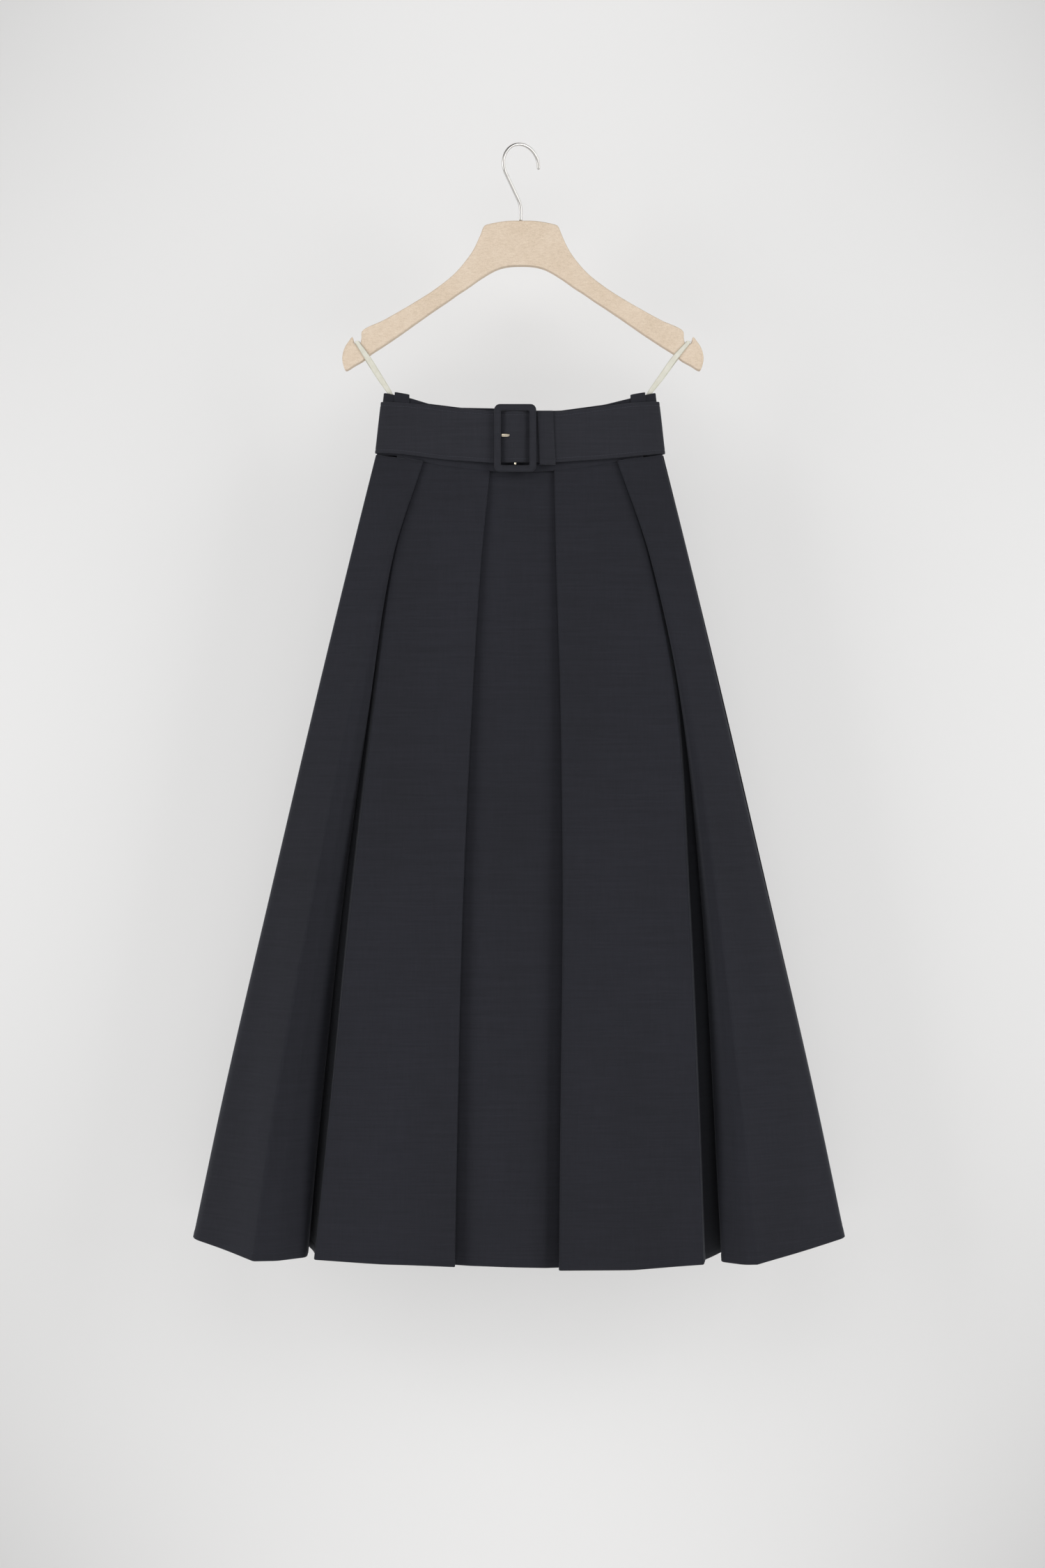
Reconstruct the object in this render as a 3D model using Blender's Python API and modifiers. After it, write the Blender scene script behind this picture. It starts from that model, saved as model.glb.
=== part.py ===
"""Pleated maxi skirt with its own belt, hanging by two ribbon loops from a flat board hanger.

Metres, +Z up, the front towards -Y, the wearer's right towards -X. The origin is the seat of the hook, the inner top of
its bow, where a rail holds it. The skirt is built the way it is sewn: panels with knife pleats that face the middle,
pressed flat at the waist seam and opening out towards the hem, joined at the pleats' inner folds, on a curved waistband.
"""

import math

import bmesh
import bpy
from mathutils import Vector

for old in list(bpy.data.objects):
    bpy.data.objects.remove(old, do_unlink=True)

MM = 0.001

# ---------------------------------------------------------------- driving sizes, millimetres unless said
CLOTH = 1.2  # wall of a panel
SEAM_GAP = 0.3  # between neighbouring pieces
SEAM_DROP = 24.2  # how fast the waist seam climbs from the middle towards the sides
SEAM_MIDDLE, SEAM_SIDE = -363.6, -344.6  # heights of the waist seam in the middle, and at the sides, where it runs level
SEAM_HALF = 158.0  # half the waist seam's width

BAND_WALL = 2.0
BAND_TOP_HALF, BAND_LOW_HALF = 149.3, 157.2  # half widths of the waistband's inner face at the sides' top and bottom
BAND_TOP_SIDE, BAND_LOW_SIDE = -275.6, -344.6  # heights of its edges at the sides
BAND_DEPTH = 12.6  # its inner face stands this far in front of the middle plane

BELT_WALL = 1.2
BELT_SHIFT = -0.3  # the belt hangs this far to one side
BELT_AIR = 1.7  # room between the waistband and the belt, for the carriers and the keeper's back
BELT_AIR_SIDE = 0.75  # and at the sides, where the belt is drawn tight
BELT_END = 1.34  # the free end stops on the back, this many quarter turns from the middle of the front
CARRIER_WIDE, CARRIER_WALL, CARRIER_RISE, CARRIER_LONG = 15.5, 1.0, 4.1, 50.0
CARRIER_X = (-130.0, 130.5)

BUCKLE_WIDE, BUCKLE_HIGH, BUCKLE_DEEP = 46.5, 75.0, 5.0
BUCKLE_BAR, BUCKLE_RADIUS = 7.4, 6.4
BUCKLE_X, BUCKLE_Z = -5.0, -327.5
BAR_WIRE = 2.6
STRAP_RISE = 3.3  # how far the strap climbs over the buckle's centre bar
PRONG_WIDE, PRONG_DEEP = 3.4, 1.6
KEEPER_WIDE, KEEPER_WALL, KEEPER_X = 17.0, 1.0, 29.2

HANGER_X = 1.5
HANGER_LEFT, HANGER_RIGHT = 198.6, 202.7  # the two arms, from the middle to the tip
HANGER_DEEP = 12.0
HANGER_ROUND = 1.8
RIBBON_WIDE, RIBBON_WALL = 6.0, 1.0
WIRE = 3.6
BOW_RADIUS = 23.0  # of the hook's wire centre line
HOOK_TURN = math.radians(32)  # the hook has turned this far on its shaft

# Heights down a panel, as shares of its length from the waist seam to the hem, where the fold tables give positions.
STATIONS = (0.0, 0.12, 0.30, 0.55, 0.80, 1.0)
# The sections that the panels are lofted through.
SECTIONS = (0.0, 0.04, 0.08, 0.12, 0.165, 0.21, 0.32, 0.46, 0.62, 0.80, 0.92, 1.0)

# The hem's height at a distance from the middle: the sides ride up, because a flared side hangs on the slant.
HEM = (  # x, z
    (-364, -1213.5), (-320, -1222.5), (-289, -1227.1), (-225, -1228.6), (-150, -1232.8), (-71, -1235.8), (0, -1238.3),
    (45, -1239.4), (90, -1240.0), (157, -1237.5), (202, -1234.2), (259, -1232.2), (290, -1227.2), (326, -1222.3), (364, -1213.5),
)

# Each row is a point of a piece's outline seen from above. x: its distance from the middle at each station. y: its depth at
# each station, or at the waist seam, the middle of the length and the hem. r: the fold's radius at the waist seam and the hem.
FRONT = {
    "side_left": (
        # point, x at the six stations, y at three, r at two
        ("seam", (-159.4, -185.6, -223.8, -275.0, -325.8, -363.1), (-0.2, 8.5, 20.8), (0, 0)),
        ("flank", (-159.4, -185.6, -223.8, -275.0, -325.8, -363.1), (-7.0, -6.5, -4), (6, 40)),
        ("crease", (-111.2, -146.9, -184.5, -227.0, -265.5, -289.1), (-14, -43, -71), (1, 4)),
        ("roll_out", (-107.2, -141.5, -172.5, -210.0, -245.0, -265.0), (-14, -20.2, -29.5, -36.5, -49, -65), (0.9, 24)),
        ("roll_in", (-107.2, -139.9, -164.8, -195.5, -219.5, -235.0), (-12.1, -16.8, -20, -12, -19, -39), (0.9, 14)),
        ("inner", (-135.2, -152.6, -172.8, -199.0, -222.5, -238.0), (-9.1, 3, 25), (0, 0)),
    ),
    "front_left": (
        ("inner", (-135.2, -151.6, -170.6, -196.6, -220.0, -235.5), (-7.1, 3.5, 25), (0, 0)),
        ("turn", (-119.6, -144.4, -162.5, -187.4, -208.3, -225.0), (-8.0, -14.3, -20), (10, 6)),
        ("edge", (-106.2, -138.0, -159.6, -184.6, -206.0, -223.4), (-10.2, -31, -53), (1, 2.5)),
        ("middle", (-70.0, -92.0, -108.0, -124.0, -138.0, -148.0), (-12.6, -36.5, -58.5), (60, 120)),
        ("fold_out", (-33.4, -43.3, -52.9, -62.4, -67.6, -71.1), (-14, -37, -58), (0.9, 1.1)),
        ("fold_in", (-33.4, -43.3, -52.9, -62.4, -67.6, -71.1), (-12.1, -34.6, -55.1), (0.9, 1.1)),
        ("inner", (-61.4, -75.0, -88.0, -102.0, -111.0, -117.0), (-10.9, -26.0, -34.5), (0, 0)),
    ),
    "front_center": (
        ("inner_left", (-61.4, -75.0, -88.0, -102.0, -111.0, -117.0), (-8.9, -23.9, -32.4), (0, 0)),
        ("bend_left", (-34.0, -36.0, -40.0, -46.0, -50.0, -53.0), (-10.2, -27.8, -46.5), (20, 25)),
        ("middle", (2.7, 0.0, -2.0, -5.5, -10.0, -13.0), (-11.6, -29.5, -47.5), (60, 120)),
        ("bend_right", (37.0, 33.0, 32.0, 32.0, 30.0, 29.0), (-10.2, -27.8, -46.5), (20, 25)),
        ("inner_right", (66.7, 73.0, 82.0, 90.0, 91.0, 91.5), (-8.9, -23.5, -31.5), (0, 0)),
    ),
    "front_right": (
        ("inner_left", (66.7, 73.0, 82.0, 90.0, 91.0, 91.5), (-10.9, -25.6, -33.6), (0, 0)),
        ("fold_in", (38.7, 41.0, 45.9, 48.6, 46.3, 44.5), (-12.1, -36, -56.1), (0.9, 1.1)),
        ("fold_out", (38.7, 41.0, 45.9, 48.6, 46.3, 44.5), (-14, -38.4, -59), (0.9, 1.1)),
        ("middle", (74.0, 91.0, 108.0, 117.0, 122.0, 124.0), (-12.6, -36.5, -60), (60, 120)),
        ("edge", (107.6, 141.9, 171.9, 184.7, 194.9, 201.8), (-10.2, -31, -52.5), (1, 2.5)),
        ("turn", (121.0, 148.3, 174.8, 187.5, 197.0, 204.0), (-8.0, -14.3, -22), (10, 6)),
        ("inner_right", (136.6, 154.6, 180.6, 203.8, 220.5, 231.0), (-6.4, 5.2, 33), (0, 0)),
    ),
    "side_right": (
        ("inner", (136.6, 156.0, 183.2, 206.4, 223.0, 233.5), (-9.1, 4.5, 33), (0, 0)),
        ("roll_in", (108.6, 144.0, 177.5, 201.0, 214.0, 221.5), (-12.1, -17.2, -20.5, -11, -18, -39), (0.9, 11)),
        ("roll_out", (108.6, 145.0, 180.5, 207.5, 229.5, 243.0), (-14, -19.8, -28.5, -34.5, -48, -63), (0.9, 22)),
        ("crease", (112.6, 149.0, 186.0, 216.8, 242.0, 259.4), (-14, -40, -65.3), (1, 4)),
        ("flank", (157.9, 184.6, 222.0, 273.2, 324.8, 362.2), (-7.0, -4, 3), (6, 40)),
        ("seam", (157.9, 184.6, 222.0, 273.2, 324.8, 362.2), (-0.2, 8.5, 20.8), (0, 0)),
    ),
}

# The back, with the same pleats, a little shallower, at other distances from the middle so that no two inner folds meet.
BACK = {
    "back_side_left": (
        ("seam", (-159.4, -185.6, -223.8, -275.0, -325.8, -363.1), (0.2, 8.9, 21.2), (0, 0)),
        ("flank", (-159.4, -185.6, -223.8, -275.0, -325.8, -363.1), (7.0, 22, 40), (6, 40)),
        ("crease", (-104.0, -134.0, -168.0, -207.0, -246.0, -270.0), (14, 48, 81), (1, 4)),
        ("roll_out", (-100.0, -128.0, -156.0, -187.0, -218.0, -240.0), (14, 50, 90), (0.9, 22)),
        ("roll_in", (-100.0, -126.0, -150.0, -176.0, -200.0, -214.0), (12.1, 40, 80), (0.9, 12)),
        ("inner", (-128.0, -138.0, -155.0, -178.0, -199.0, -212.0), (9.6, 16, 28), (0, 0)),
    ),
    "back_left": (
        ("inner", (-128.0, -137.0, -152.8, -175.6, -196.5, -209.5), (7.6, 15.5, 28), (0, 0)),
        ("edge", (-99.0, -124.0, -145.0, -170.0, -192.0, -206.0), (10.2, 38, 71), (1, 6)),
        ("middle", (-65.0, -84.0, -100.0, -115.0, -127.0, -134.0), (12.6, 43, 77), (60, 120)),
        ("fold_out", (-34.0, -42.0, -50.0, -57.0, -61.0, -63.0), (14, 42, 75), (0.9, 1.1)),
        ("fold_in", (-34.0, -42.0, -50.0, -57.0, -61.0, -63.0), (12.1, 39.6, 72.1), (0.9, 1.1)),
        ("inner_middle", (-62.0, -73.0, -84.0, -95.0, -103.0, -108.0), (10.9, 33, 57), (0, 0)),
    ),
    "back_center_left": (
        ("inner", (-62.0, -73.0, -84.0, -95.0, -103.0, -108.0), (8.9, 30.9, 54.9), (0, 0)),
        ("bend", (-34.0, -41.0, -48.0, -53.0, -56.0, -57.0), (10.2, 35.5, 65), (20, 25)),
        ("seam", (-0.15, -0.15, -0.15, -0.15, -0.15, -0.15), (11.4, 37, 66.5), (0, 0)),
    ),
}


def mirrored(rows):
    """The same piece on the other side of the middle."""
    return tuple((name, tuple(-x for x in xs), ys, rs) for name, xs, ys, rs in rows)


for left, right in (("back_side_left", "back_side_right"), ("back_left", "back_right"), ("back_center_left", "back_center_right")):
    BACK[right] = mirrored(BACK[left])

# The edges of the waistband and the belt sag between the sides.
BAND_TOP = (  # x, z
    (-152, -275.6), (-122, -282.6), (-103, -288.6), (-66, -293.4), (-29, -294.2), (15, -296.6), (45, -296.8), (77, -292.4),
    (96, -289.7), (119, -283.8), (152, -275.6),
)
BELT_TOP = (  # x, z
    (-155, -285.2), (-126, -287.8), (-99, -290.6), (-70, -294.6), (-29, -297.7), (18, -298.2), (47, -298.4), (75, -294.9),
    (120, -288.3), (155, -285.2),
)
BELT_LOW = (  # x, z
    (-161, -341.4), (-129, -343.6), (-84, -350.0), (-29, -354.2), (38, -353.4), (97, -349.2), (161, -342.0),
)

# The hanger's arm, from the middle out.
ARM = (  # distance from the middle, top edge, lower edge
    (0.0, -84.0, -133.7), (14.0, -84.2, -134.4), (25.0, -85.6, -137.0), (36.0, -87.9, -142.4), (40.7, -89.7, -145.4),
    (45.5, -100.5, -148.4), (51.1, -112.7, -152.3), (56.5, -121.8, -156.2), (62.5, -129.8, -160.3), (69.7, -138.4, -164.9),
    (79.0, -147.4, -171.6), (97.6, -161.5, -184.2), (116.2, -173.4, -197.3), (134.8, -184.4, -210.6), (153.4, -194.8, -223.2),
)
# The arm's end, round from its top corner: a notch for the ribbon, then the rounded cap and the lower corner.
TIP = (  # distance from the middle, height
    (176.4, -206.6), (177.4, -215.0), (178.9, -220.0), (184.7, -220.4), (186.0, -217.2), (187.4, -213.2), (191.6, -218.1),
    (195.2, -223.6), (197.6, -229.8), (198.6, -236.4), (197.8, -243.0), (194.8, -249.9), (184.4, -244.4), (174.4, -238.6),
    (168.0, -232.8),
)
NOTCH = (181.5, -220.1)  # the notch's floor, where the ribbon turns over


# ---------------------------------------------------------------- functions
def smooth_between(values, at, stations):
    """The value at a height, on a smooth curve through the values given at the stations."""
    last = len(stations) - 1
    k = min(max(sum(1 for s in stations[1:] if s <= at), 0), last - 1)
    slopes = []
    for i in range(len(values)):
        a, b = max(i - 1, 0), min(i + 1, last)
        slopes.append((values[b] - values[a]) / (stations[b] - stations[a]))
    span = stations[k + 1] - stations[k]
    t = (at - stations[k]) / span
    return (
        (2 * t**3 - 3 * t**2 + 1) * values[k]
        + (t**3 - 2 * t**2 + t) * span * slopes[k]
        + (3 * t**2 - 2 * t**3) * values[k + 1]
        + (t**3 - t**2) * span * slopes[k + 1]
    )


def on_table(rows, x):
    """Straight interpolation in a two-column table."""
    if x <= rows[0][0]:
        return rows[0][1]
    for (x0, z0), (x1, z1) in zip(rows, rows[1:]):
        if x <= x1:
            return z0 + (z1 - z0) * (x - x0) / (x1 - x0)
    return rows[-1][1]


def seam_height(x):
    return min(SEAM_MIDDLE + SEAM_DROP * (x / SEAM_HALF) ** 2, SEAM_SIDE)


def control_points(rows, at):
    """A piece's outline at one height: (x, y, z, radius) of each row's point."""
    points = []
    for _, xs, ys, rs in rows:
        x = smooth_between(xs, at, STATIONS)
        y = smooth_between(ys, at, STATIONS if len(ys) == len(STATIONS) else (0.0, 0.5, 1.0))
        z = seam_height(xs[0]) * (1 - at) + on_table(HEM, xs[-1]) * at
        points.append((x, y, z, rs[0] + (rs[1] - rs[0]) * at))
    return points


def rounded_section(points, steps):
    """The outline with each inner corner rounded to its radius, by an arc of steps + 1 points. A corner that doesn't turn
    keeps the same count, so that every section of a piece has the same number of points."""
    out = [Vector(points[0][:3])]
    for (ax, ay, az, _), (bx, by, bz, r), (cx, cy, cz, _) in zip(points, points[1:], points[2:]):
        back, ahead = Vector((ax - bx, ay - by)), Vector((cx - bx, cy - by))
        lb, la = back.length, ahead.length
        back, ahead = back / lb, ahead / la
        turn = math.pi - back.angle(ahead, 0.0)
        cut = r * math.tan(turn / 2) if turn > 0.02 else 0.3 * r
        cut = max(min(cut, 0.46 * lb, 0.46 * la), 0.02)
        for i in range(steps + 1):
            t = i / steps
            # a conic close to the circular arc between the two tangent points
            w = math.cos(turn / 2)
            a, b, c = (1 - t) ** 2, 2 * w * t * (1 - t), t**2
            s = a + b + c
            px = (a * (bx + back.x * cut) + b * bx + c * (bx + ahead.x * cut)) / s
            py = (a * (by + back.y * cut) + b * by + c * (by + ahead.y * cut)) / s
            dz = (az - bz) * a * cut / lb + (cz - bz) * c * cut / la
            out.append(Vector((px, py, bz + dz / s)))
    out.append(Vector(points[-1][:3]))
    return out


def material(name, colour, roughness, metallic=0.0):
    made = bpy.data.materials.new(name)
    made.use_nodes = True
    shader = made.node_tree.nodes["Principled BSDF"]
    shader.inputs["Base Color"].default_value = (*colour, 1.0)
    shader.inputs["Roughness"].default_value = roughness
    shader.inputs["Metallic"].default_value = metallic
    return made


def add_object(name, mesh, finish):
    made = bpy.data.objects.new(name, mesh)
    skirt.objects.link(made)
    mesh.materials.append(finish)
    return made


def sheet(name, rows_of_points, wall, finish, outward=0.0, closed=False):
    """A wall of cloth: an open surface through rows of points (millimetres), thickened by Solidify."""
    shape = bmesh.new()
    rows = [[shape.verts.new(Vector(p) * MM) for p in row] for row in rows_of_points]
    for upper, lower in zip(rows, rows[1:]):
        count = len(upper) if closed else len(upper) - 1
        for i in range(count):
            j = (i + 1) % len(upper)
            shape.faces.new((upper[i], lower[i], lower[j], upper[j]))
    # twisted quads are split along the shorter diagonal, so that neighbouring layers split alike and stay apart
    bmesh.ops.triangulate(shape, faces=shape.faces, quad_method="SHORT_EDGE")
    mesh = bpy.data.meshes.new(name)
    shape.to_mesh(mesh)
    shape.free()
    made = add_object(name, mesh, finish)
    thick = made.modifiers.new("wall", "SOLIDIFY")
    thick.thickness = wall * MM
    thick.offset = outward
    thick.use_even_offset = True
    thick.use_quality_normals = True
    mesh.shade_smooth()
    mesh.set_sharp_from_angle(angle=math.radians(40))
    return made


def made_mesh(source):
    """A plain mesh object from an object with modifiers or from a curve, with its caps welded."""
    graph = bpy.context.evaluated_depsgraph_get()
    mesh = bpy.data.meshes.new_from_object(source.evaluated_get(graph))
    shape = bmesh.new()
    shape.from_mesh(mesh)
    bmesh.ops.remove_doubles(shape, verts=shape.verts, dist=1e-6)
    bmesh.ops.recalc_face_normals(shape, faces=shape.faces)
    shape.to_mesh(mesh)
    shape.free()
    made = bpy.data.objects.new(source.name + "_mesh", mesh)
    made.matrix_world = source.matrix_world
    name = source.name
    bpy.data.objects.remove(source, do_unlink=True)
    made.name = name
    skirt.objects.link(made)
    return made


def outline_plate(name, outlines, depth, finish, rounded=0.0):
    """A flat plate in the XZ plane from closed outlines (millimetres), the first outer, the others holes."""
    curve = bpy.data.curves.new(name, "CURVE")
    curve.dimensions = "2D"
    curve.fill_mode = "BOTH"
    curve.extrude = (depth / 2 - rounded) * MM
    curve.bevel_depth = rounded * MM
    curve.bevel_resolution = 1
    curve.offset = -rounded * MM
    for points in outlines:
        line = curve.splines.new("POLY")
        line.points.add(len(points) - 1)
        for slot, (x, z) in zip(line.points, points):
            slot.co = (x * MM, z * MM, 0, 1)
        line.use_cyclic_u = True
    made = bpy.data.objects.new(name, curve)
    skirt.objects.link(made)
    curve.materials.append(finish)
    made.rotation_euler = (math.radians(90), 0, 0)
    return made


def arc(cx, cz, r, start, end, steps):
    """Points on an arc, angles in degrees."""
    return [
        (cx + r * math.cos(math.radians(start + (end - start) * i / steps)), cz + r * math.sin(math.radians(start + (end - start) * i / steps)))
        for i in range(steps + 1)
    ]


skirt = bpy.data.collections.new("pleated_skirt")
helpers = bpy.data.collections.new("cutters")
bpy.context.scene.collection.children.link(skirt)
bpy.context.scene.collection.children.link(helpers)

CLOTH_FINISH = material("navy_cloth", (0.024, 0.025, 0.030), 0.85)
BELT_FINISH = material("navy_belt_cloth", (0.031, 0.032, 0.038), 0.8)
BOARD_FINISH = material("pressed_board", (0.77, 0.62, 0.47), 0.8)
RIBBON_FINISH = material("cream_ribbon", (0.78, 0.76, 0.62), 0.5)
STEEL_FINISH = material("hook_steel", (0.62, 0.61, 0.60), 0.28, 1.0)
GOLD_FINISH = material("prong_gold", (0.83, 0.66, 0.42), 0.25, 1.0)

# ---------------------------------------------------------------- skirt panels
# The panels start just under the waistband. An arc of three steps rounds each fold.
for name, rows in {**FRONT, **BACK}.items():
    sections = [rounded_section(control_points(rows, at), 3) for at in SECTIONS]
    sections[0] = [p - Vector((0, 0, SEAM_GAP)) for p in sections[0]]
    sheet(name, sections, CLOTH, CLOTH_FINISH)


# ---------------------------------------------------------------- waist
def waist_half(side_height):
    """Half width of the waistband's inner face at a height given at the side."""
    share = (BAND_TOP_SIDE - side_height) / (BAND_TOP_SIDE - BAND_LOW_SIDE)
    return BAND_TOP_HALF + (BAND_LOW_HALF - BAND_TOP_HALF) * share


def oval(turn, half):
    """A flattened oval seen from above, at a number of quarter turns from the middle of the front towards +X."""
    s, c = math.sin(turn * math.pi / 2), math.cos(turn * math.pi / 2)
    return half * s, -math.copysign(BAND_DEPTH * max(1 - abs(s) ** 2.6, 0.0) ** 0.62, c)


def around(turn, half, out):
    """The oval's point moved outwards, square to it."""
    x0, y0 = oval(turn - 0.004, half)
    x1, y1 = oval(turn + 0.004, half)
    x, y = oval(turn, half)
    length = math.hypot(x1 - x0, y1 - y0)
    return x + out * (y1 - y0) / length, y - out * (x1 - x0) / length


QUARTER = (0.0, 0.17, 0.34, 0.5, 0.64, 0.76, 0.86, 0.93, 0.975, 1.0)  # closer together towards the side's tight turn


def turns_between(start, end):
    """Quarter-turn values from start to end that keep the spacing above."""
    marks = set()
    for whole in range(int(math.floor(start)) - 1, int(math.ceil(end)) + 1):
        for q in QUARTER:
            marks.add(round(whole + q if whole % 2 == 0 else whole + 1 - q, 5))
    inside = [m for m in sorted(marks) if start + 0.02 < m < end - 0.02]
    return [start] + inside + [end]


# The waistband is one strip, open at the middle of the back over the skirt's concealed zip.
rows = []
for k in (0.0, 0.5, 1.0):
    row = []
    for turn in turns_between(-1.9993, 1.9993):
        side = BAND_TOP_SIDE + (BAND_LOW_SIDE - BAND_TOP_SIDE) * k
        x, y = around(turn, waist_half(side), 0.0)
        top = on_table(BAND_TOP, x * 152 / waist_half(side))
        low = seam_height(x * SEAM_HALF / waist_half(BAND_LOW_SIDE))
        row.append((x, y, top + (low - top) * k))
    rows.append(row)
sheet("waistband", rows, BAND_WALL, CLOTH_FINISH, outward=1.0)


# Two carriers, flat loops stitched to the waistband, whose tops stand above it. The belt covers the rest.
for name, middle in zip(("carrier_left", "carrier_right"), CARRIER_X):
    rows = []
    for k in (0.0, 0.25, 0.6, 1.0):
        row = []
        for across in (-0.5, 0.0, 0.5):
            x = middle + across * CARRIER_WIDE
            z = on_table(BAND_TOP, middle) + CARRIER_RISE - CARRIER_LONG * k
            half = waist_half(z + (BAND_TOP_SIDE - on_table(BAND_TOP, middle)))
            turn = math.asin(x / half) / (math.pi / 2)
            px, py = around(turn, half, BAND_WALL + SEAM_GAP + CARRIER_WALL / 2)
            row.append((px, py, z + 0.2 * (px - middle) * math.copysign(1, middle)))
        rows.append(row)
    sheet(name, rows, CARRIER_WALL, CLOTH_FINISH)

# ---------------------------------------------------------------- belt
# The strap starts behind the buckle's bar, runs once round the waist, comes back to the buckle as the free end, passes
# under the frame, over the centre bar and under the frame again, and lies on the first layer round to the back.
LAYER_ONE = BAND_WALL + BELT_AIR + BELT_WALL / 2
LAYER_TWO = LAYER_ONE + BELT_WALL + SEAM_GAP
LAYER_ONE_SIDE = BAND_WALL + BELT_AIR_SIDE + BELT_WALL / 2


def ease(value, low, high):
    t = min(max((value - low) / (high - low), 0.0), 1.0)
    return t * t * (3 - 2 * t)


def belt_out(turn):
    """The strap's distance out from the waistband's inner face at a turn. It starts at 0, and 4 is back at the front."""
    within = turn % 2.0
    near_side = 1 - ease(1 - abs(within - 1), 0.78, 0.95)
    first = LAYER_ONE_SIDE + (LAYER_ONE - LAYER_ONE_SIDE) * near_side
    return first + (LAYER_TWO - LAYER_ONE) * ease(turn, 3.62, 3.82)


def strap_rise(x):
    """The bump of the strap over the centre bar."""
    reach = BUCKLE_WIDE / 2 - BUCKLE_BAR
    u = min(abs(x - BUCKLE_X) / reach, 1.0)
    return STRAP_RISE * (1 - u * u) ** 1.5 if u < 1 else 0.0


BELT_START = -0.02
turns = turns_between(BELT_START, 3.5) + [3.62, 3.72, 3.8]
turns += [4 + 2 / math.pi * math.asin((BUCKLE_X + dx) / 155) for dx in (-24, -18, -15, -12, -9, -6, -3, 0, 3, 6, 9, 12, 15, 18, 24)]
turns += [m + 4 for m in turns_between(0.2, BELT_END)]
rows = []
for k in (0.0, 0.5, 1.0):
    row = []
    side = BELT_TOP[0][1] + (BELT_LOW[0][1] - BELT_TOP[0][1]) * k
    half = waist_half(side)
    for turn in turns:
        out = belt_out(turn)
        if 3.8 < turn < 4.2:
            out += strap_rise(oval(turn, half)[0])
        x, y = around(turn, half, out)
        across = x / (half + LAYER_TWO)
        top, low = on_table(BELT_TOP, across * 155), on_table(BELT_LOW, across * 161)
        row.append((x + BELT_SHIFT, y, top + (low - top) * k))
    rows.append(row)
belt = sheet("belt", rows, BELT_WALL, BELT_FINISH)

FRONT_Y = -(BAND_DEPTH + LAYER_TWO + BELT_WALL / 2)  # the strap's face on either side of the buckle
FRAME_BACK = FRONT_Y - SEAM_GAP
FRAME_FRONT = FRAME_BACK - BUCKLE_DEEP
BAR_Y = -(BAND_DEPTH + LAYER_ONE + BELT_WALL / 2 + SEAM_GAP + BAR_WIRE / 2 + 0.35)


def rounded_box(cx, cz, wide, high, radius, steps):
    out = []
    for sx, sz, start in ((1, 1, 0), (-1, 1, 90), (-1, -1, 180), (1, -1, 270)):
        out += arc(cx + sx * (wide / 2 - radius), cz + sz * (high / 2 - radius), radius, start, start + 90, steps)
    return out


def soften(made, width, segments=2, angle=50):
    bevel = made.modifiers.new("edge", "BEVEL")
    bevel.width = width * MM
    bevel.segments = segments
    bevel.limit_method = "ANGLE"
    bevel.angle_limit = math.radians(angle)
    made.data.shade_smooth()
    made.data.set_sharp_from_angle(angle=math.radians(40))
    return made


frame = outline_plate(
    "buckle_frame",
    [
        rounded_box(BUCKLE_X, BUCKLE_Z, BUCKLE_WIDE, BUCKLE_HIGH, BUCKLE_RADIUS, 5),
        rounded_box(BUCKLE_X, BUCKLE_Z, BUCKLE_WIDE - 2 * BUCKLE_BAR, BUCKLE_HIGH - 2 * BUCKLE_BAR, 1.6, 3),
    ],
    BUCKLE_DEEP,
    BELT_FINISH,
)
frame.location.y = (FRAME_BACK + FRAME_FRONT) / 2 * MM
frame = soften(made_mesh(frame), 1.5)

bpy.ops.mesh.primitive_cylinder_add(
    vertices=12,
    radius=BAR_WIRE / 2 * MM,
    depth=(BUCKLE_HIGH - 2 * BUCKLE_BAR - 2 * SEAM_GAP) * MM,
    location=(BUCKLE_X * MM, BAR_Y * MM, BUCKLE_Z * MM),
)
bar = bpy.context.object
bar.name = "buckle_bar"
for collection in list(bar.users_collection):
    collection.objects.unlink(bar)
skirt.objects.link(bar)
bar.data.materials.append(GOLD_FINISH)
bar.data.shade_smooth()
bar.data.set_sharp_from_angle(angle=math.radians(40))

# The prong leaves the bar, comes up through a hole in the strap and rests against the frame's inner edge.
PRONG_Z = BUCKLE_Z + 3.2
PRONG = (  # x, y of its middle line
    (BUCKLE_X - BAR_WIRE / 2 - SEAM_GAP, BAR_Y + 0.1), (BUCKLE_X - 5.0, BAR_Y - 0.15), (BUCKLE_X - 9.5, BAR_Y - 1.0),
    (BUCKLE_X - 12.5, BAR_Y - 1.5), (BUCKLE_X - (BUCKLE_WIDE / 2 - BUCKLE_BAR) + SEAM_GAP, BAR_Y - 1.7),
)
rows = [[(x, y, PRONG_Z + PRONG_WIDE / 2 * up) for x, y in PRONG] for up in (0.9, -0.9)]
prong = sheet("prong", rows, PRONG_DEEP, GOLD_FINISH)

hole_start, hole_end = BUCKLE_X - 13.4, BUCKLE_X - 2.6
hole = outline_plate(
    "strap_hole",
    [rounded_box((hole_start + hole_end) / 2, PRONG_Z, hole_end - hole_start, PRONG_WIDE + 0.8, 1.8, 3)],
    12.0,
    GOLD_FINISH,
)
hole.location.y = (FRONT_Y - 3.2) * MM
hole = made_mesh(hole)
skirt.objects.unlink(hole)
helpers.objects.link(hole)
hole.hide_render = True
hole.display_type = "WIRE"
cut = belt.modifiers.new("prong_hole", "BOOLEAN")
cut.operation = "DIFFERENCE"
cut.object = hole

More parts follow.
